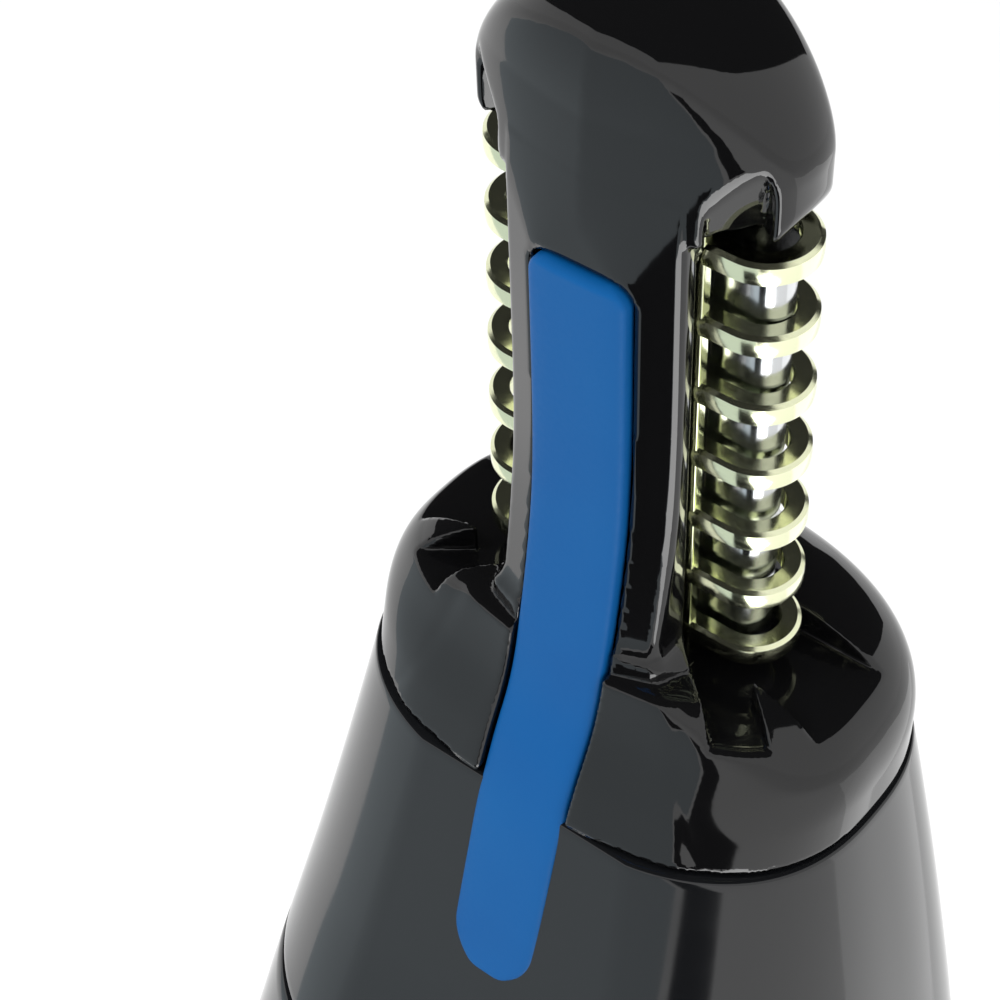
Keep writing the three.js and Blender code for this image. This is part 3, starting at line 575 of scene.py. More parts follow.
# %% [markdown]
# ## Soft edges
# A mould has no sharp edge. Where two fields meet, their larger or smaller value is rounded over a
# radius, which gives an edge its break and a corner its fillet.

# %% Soft edges
def soft_max(a, b, radius):
    """The larger of two fields, with the edge where they meet rounded over that radius."""
    both = np.maximum(radius - np.abs(a - b), 0) / radius
    return np.maximum(a, b) + both**2 * radius / 4


def soft_min(a, b, radius):
    """The smaller of two fields, with a fillet of that radius in the corner."""
    return -soft_max(-a, -b, radius)


print("rounded edge of two equal fields:", soft_max(0.0, 0.0, 0.4), "mm")

# %% [markdown]
# ## Tower sizes
# Lengths in the head's frame, whose origin lies between the middle fins. The strip's front runs as a
# smooth curve through a few points of depth against height, and the tower's front lies behind it.

# %% Tower sizes
STRIP_FRONT = [(-13.1, 5.62), (-12.2, 5.36), (-10.4, 4.84), (-9, 4.42), (-7.6, 3.85),
               (-6.2, 3.2), (-4.5, 2.8), (-2, 2.4), (0, 2.27), (4, 2.25)]
STRIP_HALF_WIDTH = 1.05
STRIP_TOP, STRIP_BOTTOM = 4.3, -13.1
STRIP_PROUD = 0.2
GROOVE_DEPTH, GROOVE_PLAY = 0.55, 0.06
TOP_ROUND, LOW_ROUND = 0.42, 1.05
CAP_TOP = 9.5
FACET = 0.95
FRONT_PLANE = 2.05
PILLAR_HALF_WIDTH = 1.92
FOOT_START, FOOT_LENGTH = -4.4, 4.0
SHOULDER_BAND, SHOULDER_RISE = 0.9, 2.5
SHOULDER_HALF_WIDTH, SHOULDER_HALF_DEPTH = 5.85, 4.2
CAP_RIM = 5.45
TOWER_STEP = 0.085
FLANK_LEAN = math.radians(23)
CAP_WIDTH, CAP_DEPTH = 3.38, 2.4
ARCH_FACING = math.radians(51.5)
ARCH_START, ARCH_SHIFT, ARCH_SPRING, ARCH_RADIUS = 2.35, 0.74, 6.2, 0.54
DOME_START = 6.65
print("tower from", SEAM, "to", CAP_TOP, "mm")

# %% [markdown]
# ## Pillars, cap and shoulder
# The pillars are cut by flat facets, which the polished plastic shows as clean bands of light. The
# cap takes them over and softens them, and the shoulder is a dome over the body's own outline.

# %% Pillars, cap and shoulder
def oval(x, y, width, depth, power):
    """About the distance to a superellipse: its radius in units of itself, less one, made mm."""
    ratio = (np.abs(x / width) ** power + np.abs(y / depth) ** power) ** (1 / power)
    return (ratio - 1) * np.minimum(width, depth)


def front_of_head(z):
    """How far forward of the head's axis the moulding's front lies."""
    return smooth_table(STRIP_FRONT, z) - STRIP_PROUD


def facets(x, y, front, facet, edge):
    """Front and back facets and the four flank planes beside them, their edges rounded by edge."""
    flank = (np.abs(x) - facet) * math.sin(FLANK_LEAN) + (np.abs(y) - front) * math.cos(FLANK_LEAN)
    return soft_max(np.abs(y) - front, flank, edge)


def facet_edge(z):
    """Rounding of the facets' edges: crisp along the pillars, ever softer up the cap."""
    return 0.12 + 0.35 * np.clip(z - 4.4, 0, 3)


def tower_post(x, y, z):
    """Pillars: facets, flank planes and side walls, with a foot that flares below the combs."""
    front = front_of_head(z)
    flare = np.maximum(0, FOOT_START - z) / FOOT_LENGTH
    side = np.abs(x) - PILLAR_HALF_WIDTH - 1.3 * flare**2
    post = soft_max(facets(x, y, front, FACET + 0.5 * flare**2, facet_edge(z)), side, 0.16)
    return np.maximum(post, z - 6.3)


def tower_cap(x, y, z):
    """Bullet: an oval section that shrinks by (1 - t^n)^(1/n) to a dome, cut by the pillars'
    facets, which run on almost to the top. A bevel cuts the rim."""
    rise = np.clip((z - DOME_START) / (CAP_TOP - DOME_START), 0, 1)
    share = np.maximum((1 - rise**1.65) ** (1 / 1.65), 0.02)
    front_share = np.maximum((1 - rise**3.5) ** (1 / 3.5), 0.02)
    shape = facets(x, y, FRONT_PLANE * front_share, FACET, facet_edge(z))
    shape = soft_max(shape, oval(x, y, CAP_WIDTH * share, CAP_DEPTH * front_share, 2.0), 0.5)
    shape = soft_max(shape, z - CAP_TOP, 0.5)
    bevel = (CAP_RIM - z) * 0.55 + (np.abs(x) - 3.02) * 0.83
    return soft_max(shape, np.maximum(bevel, 5.4 - z), 0.1)


def tower_shoulder(x, y, z):
    """Dome from the seam to the foot of the combs, a superellipse in plan at every height, with
    an upright band just above the seam."""
    rise = np.clip((z - SEAM - SHOULDER_BAND) / SHOULDER_RISE, 0, 1)
    share = (1 - rise**2.2) ** (1 / 2.2)
    width = SHOULDER_HALF_WIDTH - 2.95 * (1 - share)
    front = front_of_head(np.maximum(z, SEAM))
    back = SHOULDER_HALF_DEPTH - 2.3 * (1 - share)
    depth = np.where(y < 0, np.minimum(front, SHOULDER_HALF_DEPTH - 2.2 * (1 - share)), back)
    wall = oval(x, y / np.where(y < 0, FRONT_FULLNESS, 1.0), width, depth, BODY_POWER)
    return np.maximum(soft_max(wall * 0.8, -y - front, 0.25), z - SEAM - SHOULDER_BAND - SHOULDER_RISE)


print("front of the head at the seam:", float(front_of_head(SEAM)), "mm")

# %% [markdown]
# ## Pockets, bosses and groove
# The combs slide into pockets that open sideways and stand in small bosses. The cap has a narrow
# arched recess above each pocket, and the strip lies in a groove a little larger than itself.

# %% Pockets, bosses and groove
def comb_pocket(x, y, z):
    """Slot for a comb between the pillars, open outwards, and a narrow arched recess above it in
    the cap's forward flank, shallower towards its top."""
    slot = np.maximum(np.maximum(1.3 - np.abs(x), np.abs(y) - 1.08), z - 5.5)
    outward = np.abs(x) * math.sin(ARCH_FACING) - y * math.cos(ARCH_FACING)
    across = np.abs(x) * math.cos(ARCH_FACING) + y * math.sin(ARCH_FACING) - ARCH_SHIFT
    leaning = ARCH_START + (z - 5.5) * 0.35 - outward
    arch = np.hypot(across, np.maximum(z - ARCH_SPRING, 0) * 0.5) - ARCH_RADIUS
    return np.maximum(np.minimum(slot, soft_max(leaning, arch, 0.1)), -5.75 - z)


def comb_boss(x, y, z):
    """Rounded boss that a comb's foot stands in."""
    return np.sqrt((np.abs(x) - 3.1) ** 2 + y**2 + ((z + 7.2) * 0.62) ** 2) - 1.25


def strip_groove(x, y, z, grow):
    """Room for the strip: its outline grown by grow, let into the surface by GROOVE_DEPTH."""
    middle = np.clip(z, STRIP_BOTTOM + LOW_ROUND, STRIP_TOP - TOP_ROUND)
    corner = np.where(z > 0, TOP_ROUND, LOW_ROUND)
    flat = np.maximum(np.abs(x) - STRIP_HALF_WIDTH + corner, 0)
    plan = np.hypot(flat, z - middle) - corner - grow
    deep = y + smooth_table(STRIP_FRONT, z) - GROOVE_DEPTH - grow
    return np.maximum(plan, deep)


print("groove depth under the strip's front:", GROOVE_DEPTH, "mm")

# %% [markdown]
# ## Head tower
# The shapes are joined with fillets, the pockets and the groove are cut out, and the skin is laid on
# the result with a step of TOWER_STEP. Its step is as fine as the limit on triangles allows.

# %% Head tower
def tower_field(x, y, z):
    body = soft_min(tower_post(x, y, z), tower_shoulder(x, y, z), 0.9)
    body = soft_min(body, comb_boss(x, y, z), 0.35)
    body = np.minimum(body, tower_cap(x, y, z))
    body = soft_max(body, -comb_pocket(x, y, z), 0.1)
    body = soft_max(body, -strip_groove(x, y, z, GROOVE_PLAY), 0.1)
    return soft_max(body, np.maximum(SEAM + 0.05 - z, z - CAP_TOP - 0.1), 0.1)


tower_points, tower_faces = field_skin(
    tower_field, (-6.2, -4.5, -8.7), (6.2, 4.6, 9.95), TOWER_STEP)
mesh_piece("tower_moulding", in_row(tower_points), tower_faces, black_abs, "cutting_head",
           ["head_tower"])

# %% [markdown]
# ## Fins
# A guard comb is a stack of bowed steel fins, bent like hairpins and bevelled at the rim. One rim
# profile carried along a hairpin path gives a fin its bow, bevel and thickness in one skin.

# %% Fins
FIN_COUNT = 7
FIN_PITCH = 1.6
FIN_THICKNESS = 0.5
FIN_WALL = 0.42
FIN_BEVEL, FIN_BELLY = 0.07, 0.012
COMB_REACH = 3.54
COMB_TAPER = 0.0058
NOSE_RADIUS = 1.0
COMB_ROOT = 1.55
fin_heights = ((FIN_COUNT - 1) / 2 - np.arange(FIN_COUNT)) * FIN_PITCH


def hairpin(reach, radius, root, count):
    """A path out along -Y's side, round a half circle nose and back: places and outward normals."""
    centre = reach - radius
    angle = np.linspace(-math.pi / 2, math.pi / 2, count)
    nose = np.stack([centre + radius * np.cos(angle), radius * np.sin(angle)], axis=-1)
    normal = np.stack([np.cos(angle), np.sin(angle)], axis=-1)
    straight = np.linspace(root, centre, 5)[:-1]
    out = np.stack([straight, np.full(4, -radius)], axis=-1)
    back = np.stack([straight[::-1], np.full(4, radius)], axis=-1)
    places = np.concatenate([out, nose, back])
    normals = np.concatenate([np.tile([0, -1], (4, 1)), normal, np.tile([0, 1], (4, 1))])
    return places, normals


def rim_profile(depth, height, bevel, belly):
    """Closed outline of a fin's rim, (outward, up): a bevelled rectangle whose outer face bows."""
    half = height / 2
    rise = np.linspace(-1, 1, 7)
    outer = np.stack([-belly * rise**2, rise * (half - bevel)], axis=-1)
    inner = np.array([[-bevel - 0.02, half], [-depth + 0.03, half], [-depth, half - 0.03],
                      [-depth, 0.03 - half], [-depth + 0.03, -half], [-bevel - 0.02, -half]])
    return np.concatenate([outer, inner])


def fin(reach, z, side):
    """Rim profile carried round the hairpin."""
    places, normals = hairpin(reach, NOSE_RADIUS, COMB_ROOT, 33)
    profile = rim_profile(FIN_WALL, FIN_THICKNESS, FIN_BEVEL, FIN_BELLY)
    flat = places[:, None, :] + normals[:, None, :] * profile[None, :, :1]
    rings = np.concatenate([flat, np.broadcast_to(
        z + profile[None, :, 1:], (*flat.shape[:2], 1))], axis=-1)
    rings[..., 0] *= side
    return closed_loft(rings if side < 0 else rings[::-1])


print("fins at", fin_heights.round(1), "mm")

# %% [markdown]
# ## Guard combs
# Seven fins stand on two rails inside each pocket. The fins shorten a little towards the top, so the
# tube enters more easily. Both combs come from one loop, the left one with its X turned round.

# %% Guard combs
def block(low, high, round_off):
    """Rounded box: a superellipse of power 8 in plan, with soft ends."""
    low, high = np.array(low, float), np.array(high, float)
    middle, half = (low + high) / 2, (high - low) / 2
    angle = (np.arange(32) + 0.5) / 32 * TAU
    plan = np.stack([signed_power(np.cos(angle), 1 / 4), signed_power(np.sin(angle), 1 / 4)], -1)
    tilt = np.linspace(0, math.pi / 2, 4)
    inset = round_off * (1 - np.sin(tilt))
    drop = round_off * (1 - np.cos(tilt))
    heights = np.concatenate([-half[2] + drop, (half[2] - drop)[::-1]])
    shrink = np.concatenate([inset, inset[::-1]])
    rings = np.concatenate([
        middle[:2] + plan[None] * (half[:2] - shrink[:, None])[:, None, :],
        np.broadcast_to((middle[2] + heights)[:, None, None], (8, 32, 1)),
    ], axis=-1)
    return closed_loft(rings)


for side, name in ((1, "right"), (-1, "left")):
    parts = [fin(COMB_REACH * (1 - COMB_TAPER * z), z, side) for z in fin_heights]
    for rail in (-1, 1):
        near, far = sorted((rail * 0.72, rail * 0.98))
        edges = sorted((side * COMB_ROOT, side * (COMB_ROOT + 0.3)))
        parts.append(block((edges[0], near, -5.6), (edges[1], far, 5.45), 0.06))
    points, faces = joined(parts)
    mesh_piece(f"comb_{name}", in_row(points), faces, comb_steel, "cutting_head",
               [f"guard_comb_{name}"], sharp=35)

# %% [markdown]
# ## Cutter blades
# Behind the fins runs the blade, a polished bar that moves up and down and shears hair against them.
# It is a hairpin section carried upwards, pinched by a small ground notch at every fin.

# %% Cutter blades
BLADE_REACH, BLADE_RADIUS, BLADE_ROOT = COMB_REACH - 0.5, 0.48, 1.3
BLADE_LOW, BLADE_HIGH = -5.2, 4.9
NOTCH_DEPTH, NOTCH_WIDTH = 0.05, 0.06


def blade(side):
    """Hairpin bar from below the lowest fin to above the highest. Its nose is drawn in by a notch
    NOTCH_DEPTH exp(-((phase - 1/2) / NOTCH_WIDTH)^2) once every fin pitch."""
    places, _ = hairpin(BLADE_REACH, BLADE_RADIUS, BLADE_ROOT, 25)
    heights = np.linspace(BLADE_LOW, BLADE_HIGH, 131)
    phase = (heights[:, None] / FIN_PITCH + 0.5) % 1
    notch = NOTCH_DEPTH * np.exp(-((phase - 0.5) / NOTCH_WIDTH) ** 2)
    centre = np.array([BLADE_REACH - BLADE_RADIUS, 0])
    outward = np.maximum(places[None, :, 0] - centre[0], 0) / BLADE_RADIUS
    shift = 1 - notch * outward
    flat = centre + (places[None] - centre) * shift[..., None]
    rings = np.concatenate([flat, np.broadcast_to(
        heights[:, None, None], (*flat.shape[:2], 1))], axis=-1)
    rings[..., 0] *= side
    return closed_loft(rings if side > 0 else rings[:, ::-1])


for side, name in ((1, "right"), (-1, "left")):
    points, faces = blade(side)
    mesh_piece(f"blade_{name}", in_row(points), faces, blade_steel, "blades",
               [f"cutter_blade_{name}"], sharp=40)

# %% [markdown]
# ## Front strip
# The strip is a band of soft rubber with a crowned face, an almost square upper end and a round lower
# one. A box bent by a modifier would keep straight ends, so a grid runs along the head's front over
# the seam, and its width follows a circle in each corner.

# %% Front strip
STRIP_EDGE, STRIP_CROWN, STRIP_BACK = 0.16, 0.06, 0.25
STRIP_FACE, STRIP_INSET = 0.22, 0.27


def strip_skin():
    """Along: heights from the lower end to the upper, closer together at the ends. Across: a
    crowned section whose half width follows the corners, a circle's sag inside each."""
    share = (1 - np.cos(np.linspace(0, math.pi, 200))) / 2
    share = (1 - np.cos(share * math.pi)) / 2 * 0.4 + share * 0.6
    heights = STRIP_BOTTOM + share * (STRIP_TOP - STRIP_BOTTOM)
    from_end = np.minimum(
        np.minimum((STRIP_TOP - heights) / TOP_ROUND, (heights - STRIP_BOTTOM) / LOW_ROUND), 1)
    corner = np.where(heights > 0, TOP_ROUND, LOW_ROUND)
    sag = np.sqrt(np.clip(1 - (1 - from_end) ** 2, 0, 1))
    half = (STRIP_HALF_WIDTH - corner * (1 - sag))[:, None]
    thick = np.clip(from_end * corner / STRIP_EDGE, 0, 1)
    thick = np.sqrt(1 - (1 - thick) ** 2)[:, None]
    angle = (np.arange(56) + 0.5) / 56 * TAU
    across = signed_power(np.cos(angle), 0.3)[None] * half
    rise = signed_power(np.sin(angle), 0.45)[None]
    front = smooth_table(STRIP_FRONT, heights)[:, None]
    crown = STRIP_CROWN * (1 - (across / STRIP_HALF_WIDTH) ** 2)
    outer = np.maximum(-rise, 0) * (STRIP_FACE * thick + crown)
    inner = np.maximum(rise, 0) * STRIP_BACK
    y = STRIP_INSET - front - outer + inner
    return closed_loft(np.stack([across, y, np.broadcast_to(heights[:, None], y.shape)], axis=-1))


points, faces = strip_skin()
mesh_piece("blue_strip", in_row(points), faces, blue_rubber, "cutting_head",
           ["front_strip"])

# %% [markdown]
# ## Skirt
# The skirt is the thin-walled cone of the head below the seam. It is one closed skin: down the
# outside, round the rim, and back up the inside.

# %% Skirt
def tube_skin(outer_stations, outer_inset, wall, columns):
    """Outer rings down, inner rings back up, the last joined to the first. The rims are rounded by
    easing the inset at both ends."""
    angle = (np.arange(columns) + 0.5) / columns * TAU
    stations = np.concatenate([outer_stations, outer_stations[::-1]])
    inset = np.concatenate([outer_inset, np.maximum(outer_inset[::-1], 0) + wall])
    rings = body_ring(stations, inset, angle)
    quads = grid_quads(len(stations), columns, wrap_rows=True)
    return rings.reshape(-1, 3), [quads[:, ::-1]]


def eased(start, end, count, edge):
    """Stations from start to end, closer together at both ends, with insets that round the rims."""
    turn_in = np.linspace(0, math.pi / 2, 5)
    rim = edge * (1 - np.cos(turn_in))
    fall = edge * (1 - np.sin(turn_in))
    middle = np.linspace(start + edge, end - edge, count)
    stations = np.concatenate([start + rim[:-1], middle, end - rim[:-1][::-1]])
    inset = np.concatenate([fall[:-1], np.zeros(count), fall[:-1][::-1]])
    return stations, inset


SKIRT_LENGTH, SKIRT_WALL = SEAM - PARTING, 1.15
stations, inset = eased(0.04, SKIRT_LENGTH - 0.12, 60, 0.07)
points, faces = tube_skin(stations, inset, SKIRT_WALL, 160)
mesh_piece("skirt_shell", points, faces, body_abs, "cutting_head", ["head_skirt"],
           sharp=50)

# %% [markdown]
# ## Handle sizes
# The handle is two moulded half tubes screwed together from the back. The front one has a window for
# the switch, the back one two wells for the screw heads. Heights are above the floor, as the handle
# is straight there.

# %% Handle sizes
HANDLE_TOP = SEAM - PARTING + 0.06
HANDLE_LOW = BODY_LENGTH - 20.1
SHELL_WALL = 1.6
PARTING_TURN = 0.0003
RIM_BREAK = 0.05
SWITCH_HEIGHT, SWITCH_HALF_LENGTH, SWITCH_TRAVEL = 70.0, 5.0, 4.0
WINDOW_HALF_WIDTH, WINDOW_PLAY = 3.6, 0.6
WINDOW = (SWITCH_HEIGHT - SWITCH_HALF_LENGTH - WINDOW_PLAY,
          SWITCH_HEIGHT + SWITCH_TRAVEL + SWITCH_HALF_LENGTH + WINDOW_PLAY)
SCREW_HEIGHTS = (86.0, 30.0)
WELL_RADIUS, WELL_DEPTH, WELL_CHAMFER, WELL_FRAME = 1.95, 1.1, 0.12, 2.6
print("handle from", round(HANDLE_TOP, 2), "to", round(HANDLE_LOW, 2), "mm below the seam")

# %% [markdown]
# ## Screw wells
# A well could be a boolean cut, but that leaves thin triangles in a curved skin. Here the grid leaves
# out a few of its cells, and rings join the points round that hole to a circle and its floor.

# %% Screw wells
def screw_well(outer, number, middle):
    """The cells a well takes from the grid, the grid points round them, and rings at the same
    angles: a circle on the surface, the chamfer's foot, the wall's foot and half way in."""
    centre_line = outer[:, outer.shape[1] // 2, 2]
    nearest_row = np.abs(centre_line - middle).argmin()
    rows = np.nonzero(np.abs(centre_line - middle) < WELL_FRAME)[0]
    columns = np.nonzero(np.abs(outer[nearest_row, :, 0]) < WELL_FRAME)[0]
    r0, r1, c0, c1 = rows[0], rows[-1], columns[0], columns[-1]
    border = np.concatenate([number[r0, c0:c1], number[r0:r1, c1], number[r1, c1:c0:-1],
                             number[r1:r0:-1, c0]])
    frame_x, _, frame_z = outer.reshape(-1, 3)[border].T
    turn = np.arctan2(frame_z - middle, frame_x)
    radius = np.array([WELL_RADIUS + WELL_CHAMFER, WELL_RADIUS, WELL_RADIUS, WELL_RADIUS / 2])
    x = radius[:, None] * np.cos(turn)
    sunk = np.array([0, WELL_CHAMFER, WELL_DEPTH, WELL_DEPTH])[:, None]
    y = surface_depth(0.0, middle, False) - sunk + 0 * x
    y[0] = surface_depth(x[0], middle, False)
    rings = np.stack([x, y, middle + radius[:, None] * np.sin(turn)], -1)
    return (slice(r0, r1), slice(c0, c1)), border, rings


def well_faces(border, rings, start):
    """Quads from the border through the rings, and a fan on the floor, for ring points numbered
    from start with the centre last."""
    levels, count = rings.shape[:2]
    grid = np.concatenate([border[None], start + np.arange(levels * count).reshape(levels, count)])
    after = np.roll(grid, -1, axis=1)
    quads = np.stack([grid[:-1], grid[1:], after[1:], after[:-1]], -1).reshape(-1, 4)
    fan = np.stack([grid[-1], np.full(count, start + levels * count), after[-1]], -1)
    return [quads, fan]


print("screw wells at", SCREW_HEIGHTS, "mm above the floor")

# %% [markdown]
# ## Handle shells
# Each half is a grid of stations along the body by angles round it, and a second grid inset by the
# wall. Wherever a cell has no neighbour, a quad joins the two grids, so rims and window are walled by
# one rule. The halves stop a hair short of each other, which draws the parting line.

# %% Handle shells
def cell_quads(keep, number):
    """Quads of the kept grid cells, corners in grid order."""
    r, c = np.nonzero(keep)
    return np.stack([number[r, c], number[r + 1, c], number[r + 1, c + 1], number[r, c + 1]], -1)


def free_edges(quads, count, closed_off):
    """Edges whose reverse no quad has. An edge's code is first * count + second. Edges with both
    ends in closed_off don't count."""
    first, second = np.concatenate([quads[:, [i, (i + 1) % 4]] for i in range(4)]).T
    free = ~np.isin(first * count + second, second * count + first)
    free &= ~(np.isin(first, closed_off) & np.isin(second, closed_off))
    return first[free], second[free]


def half_shell(front):
    """Outer and inner grid of half the body, walled along free edges, with the window or wells."""
    stations = np.concatenate([
        [HANDLE_TOP, HANDLE_TOP + RIM_BREAK], np.linspace(HANDLE_TOP + 0.6, BEND, 22),
        np.linspace(BEND, HANDLE_LOW - 0.2, 70)[1:], [HANDLE_LOW - RIM_BREAK, HANDLE_LOW]])
    top, low = below_seam(WINDOW[1]), below_seam(WINDOW[0])
    if front:
        for edge in (top, low):
            stations[np.abs(stations - edge).argmin()] = edge
    inset = np.zeros(len(stations))
    inset[[0, -1]] = RIM_BREAK
    angle = np.linspace(PARTING_TURN, math.pi - PARTING_TURN, 97) + (math.pi if front else 0)
    outer = body_ring(stations, inset, angle)
    inner = body_ring(stations, inset + SHELL_WALL, angle)
    points = np.concatenate([outer.reshape(-1, 3), inner.reshape(-1, 3)])
    rows, columns = outer.shape[:2]
    number = np.arange(rows * columns).reshape(rows, columns)
    keep = np.ones((rows - 1, columns - 1), bool)
    if front:
        across = outer[rows // 2, :, 0]
        sides = sorted(np.abs(across - x).argmin() for x in (-WINDOW_HALF_WIDTH, WINDOW_HALF_WIDTH))
        open_rows = (stations[:-1] >= top - 1e-6) & (stations[1:] <= low + 1e-6)
        keep[np.ix_(open_rows, np.arange(*sides))] = False
    inner_quads = cell_quads(keep, number)[:, ::-1] + rows * columns
    wells = [] if front else [screw_well(outer, number, height) for height in SCREW_HEIGHTS]
    for cells, _, _ in wells:
        keep[cells] = False
    quads = cell_quads(keep, number)
    borders = np.concatenate([border for _, border, _ in wells] or [np.array([], int)])
    first, second = free_edges(quads, rows * columns, borders)
    walls = np.stack([second, first, first + rows * columns, second + rows * columns], -1)
    faces = [quads, inner_quads, walls]
    for _, border, rings in wells:
        faces += well_faces(border, rings, len(points))
        points = np.concatenate([points, rings.reshape(-1, 3), rings[-1:].mean(1)])
    return points, faces


for name, node in (("front_housing", "front_shell"), ("rear_housing", "rear_shell")):
    points, faces = half_shell(node == "front_shell")
    mesh_piece(name, points, faces, body_abs, "handle", [node], sharp=50)

# %% [markdown]
# ## Bars with round ends
# Thumb panel, rear grip and switch are bars with round ends. Each outline point has a partner, the
# nearest point of the bar's middle line, so rings between the two fill the shape without a seam.

# %% Bars with round ends
def stadium(radius, low, high, count):
    """Outline in front view, anticlockwise from the lower right, and its partners on the spine:
    two straight sides and two half circles of the bar's half width."""
    side = np.linspace(low + radius, high - radius, count)
    turn = np.linspace(0, math.pi, count // 2)[1:-1]
    outline = np.concatenate([
        np.stack([np.full(count, radius), side], -1),
        np.stack([radius * np.cos(turn), high - radius + radius * np.sin(turn)], -1),
        np.stack([np.full(count, -radius), side[::-1]], -1),
        np.stack([-radius * np.cos(turn), low + radius - radius * np.sin(turn)], -1),
    ])
    spine = np.stack([np.zeros(len(outline)), np.clip(outline[:, 1], side[0], side[-1])], -1)
    return outline, spine


print("points of an outline of 90 a side:", len(stadium(3, 0, 20, 90)[0]))

# %% [markdown]
# ## Thumb panel and rear grip
# Both are soft pads moulded over the shells and standing a little proud. A flat extrusion would cut
# into the curved body, so each ring's points take their depth from the body's own surface.

# %% Thumb panel and rear grip
PAD_SUNK, PAD_EDGE = 0.8, 0.35
PANEL_PROUD, GRIP_PROUD = 0.42, 0.32
PANEL_BAR, GRIP_BAR = (5.6, 46.0, 88.0), (6.0, 40.0, 80.0)
SLOT_HALF_WIDTH, SLOT_PLAY = 3.4, 0.2
RIB_PITCH, RIB_HEIGHT, RIB_HALF_WIDTH, RIB_FADE = 2.2, 0.22, 4.4, 0.8
SPINE_SHARE = 0.004


def pad(outline, inner, front, thick, relief=None, rings=26):
    """Rings from outline to inner: up from the underside, over a quarter round, across the top.
    Without relief the skin goes down again at the hole. With relief(x, z), which raises the top, it
    ends on the inner outline, and fans close it."""
    turn = np.linspace(0, math.pi / 2, 5)
    start = PAD_EDGE / np.maximum(np.linalg.norm(outline - inner, axis=1, keepdims=True), PAD_EDGE)
    rim = [(start * (1 - math.cos(t)), thick - PAD_EDGE * (1 - math.sin(t))) for t in turn]
    rows = rim + [(start + (1 - 2 * start) * t, thick) for t in np.linspace(0, 1, rings)[1:-1]]
    if relief:
        rows = [(1, -PAD_SUNK), (0, -PAD_SUNK)] + rows + [(1, thick)]
    else:
        rows += [(1 - share, height) for share, height in rim[::-1]]
        rows = [(0, -PAD_SUNK)] + rows + [(1, -PAD_SUNK)]
    plan = np.array([outline + (inner - outline) * share for share, _ in rows])
    x, z = plan[..., 0], plan[..., 1]
    depth = surface_depth(x, z, front) + np.array([height for _, height in rows])[:, None]
    if relief:
        first_of_top = 2 + len(rim)
        depth[first_of_top:] += relief(x, z)[first_of_top:]
        points, faces = closed_loft(np.stack([x, -depth if front else depth, z], -1))
        return points, faces if front else [part[:, ::-1] for part in faces]
    quads = grid_quads(*x.shape, wrap_rows=True)
    points = np.stack([x, -depth if front else depth, z], -1).reshape(-1, 3)
    return points, [quads if front else quads[:, ::-1]]


def grip_ribs(x, z):
    """Level ribs: a raised cosine of RIB_PITCH, fading over the last RIB_FADE towards the sides."""
    return RIB_HEIGHT * (0.5 + 0.5 * np.cos(TAU * z / RIB_PITCH)) * np.clip(
        (RIB_HALF_WIDTH - np.abs(x)) / RIB_FADE, 0, 1)


slot_outline, _ = stadium(SLOT_HALF_WIDTH, WINDOW[0] + SLOT_PLAY, WINDOW[1] - SLOT_PLAY, 90)
panel_outline, _ = stadium(*PANEL_BAR, 90)
points, faces = pad(panel_outline, slot_outline, True, PANEL_PROUD)
mesh_piece("thumb_pad", points, faces, dark_rubber, "handle", ["thumb_panel"])

grip_outline, spine = stadium(*GRIP_BAR, 150)
inner_outline = spine + (grip_outline - spine) * SPINE_SHARE
points, faces = pad(grip_outline, inner_outline, False, GRIP_PROUD, grip_ribs, rings=60)
mesh_piece("rear_pad", points, faces, dark_rubber, "handle", ["rear_grip"])

# %% [markdown]
# ## Switch
# The button is a blue bar with a rounded edge, a dish for the thumb and fine ridges across it. Behind
# the window a thin slide moves with the button, so that the slot never shows the inside.

# %% Switch
SWITCH_BACK, SWITCH_SHOULDER, SWITCH_FACE = -7.2, -10.4, -11.2
SWITCH_RIDGE_PITCH, SWITCH_RIDGE, SWITCH_DISH = 1.1, 0.08, 0.22
EDGE_SHARE = 0.2


def switch_skin():
    """Rings from the underside up, over a quarter round and in to the spine. The top is lowered by
    a parabola along the button and raised by a cosine's ridges, which fade out at its ends."""
    outline, spine = stadium(2.95, SWITCH_HEIGHT - SWITCH_HALF_LENGTH,
                             SWITCH_HEIGHT + SWITCH_HALF_LENGTH, 60)
    turn = np.linspace(0, math.pi / 2, 6)
    share = np.concatenate([[1, 1], 1 - EDGE_SHARE * (1 - np.cos(turn)),
                            np.linspace(1 - EDGE_SHARE, 0.01, 30)[1:]])
    depth = np.concatenate([[SWITCH_BACK, SWITCH_SHOULDER],
                            SWITCH_SHOULDER + (SWITCH_FACE - SWITCH_SHOULDER) * np.sin(turn),
                            np.full(29, SWITCH_FACE)])
    plan = spine + (outline - spine) * share[:, None, None]
    along = plan[..., 1] - SWITCH_HEIGHT
    on_top = np.clip((1 - EDGE_SHARE - share) / 0.12, 0, 1)[:, None]
    ridges = np.cos(TAU * along / SWITCH_RIDGE_PITCH) * np.clip((3.2 - np.abs(along)) / 0.6, 0, 1)
    dish = SWITCH_DISH * (1 - (along / SWITCH_HALF_LENGTH) ** 2)
    y = depth[:, None] + on_top * (dish - SWITCH_RIDGE * ridges)
    return closed_loft(np.stack([plan[..., 0], y, plan[..., 1]], -1))


points, faces = switch_skin()
mesh_piece("switch_cap", points, faces, blue_rubber, "switch", ["switch_button"])

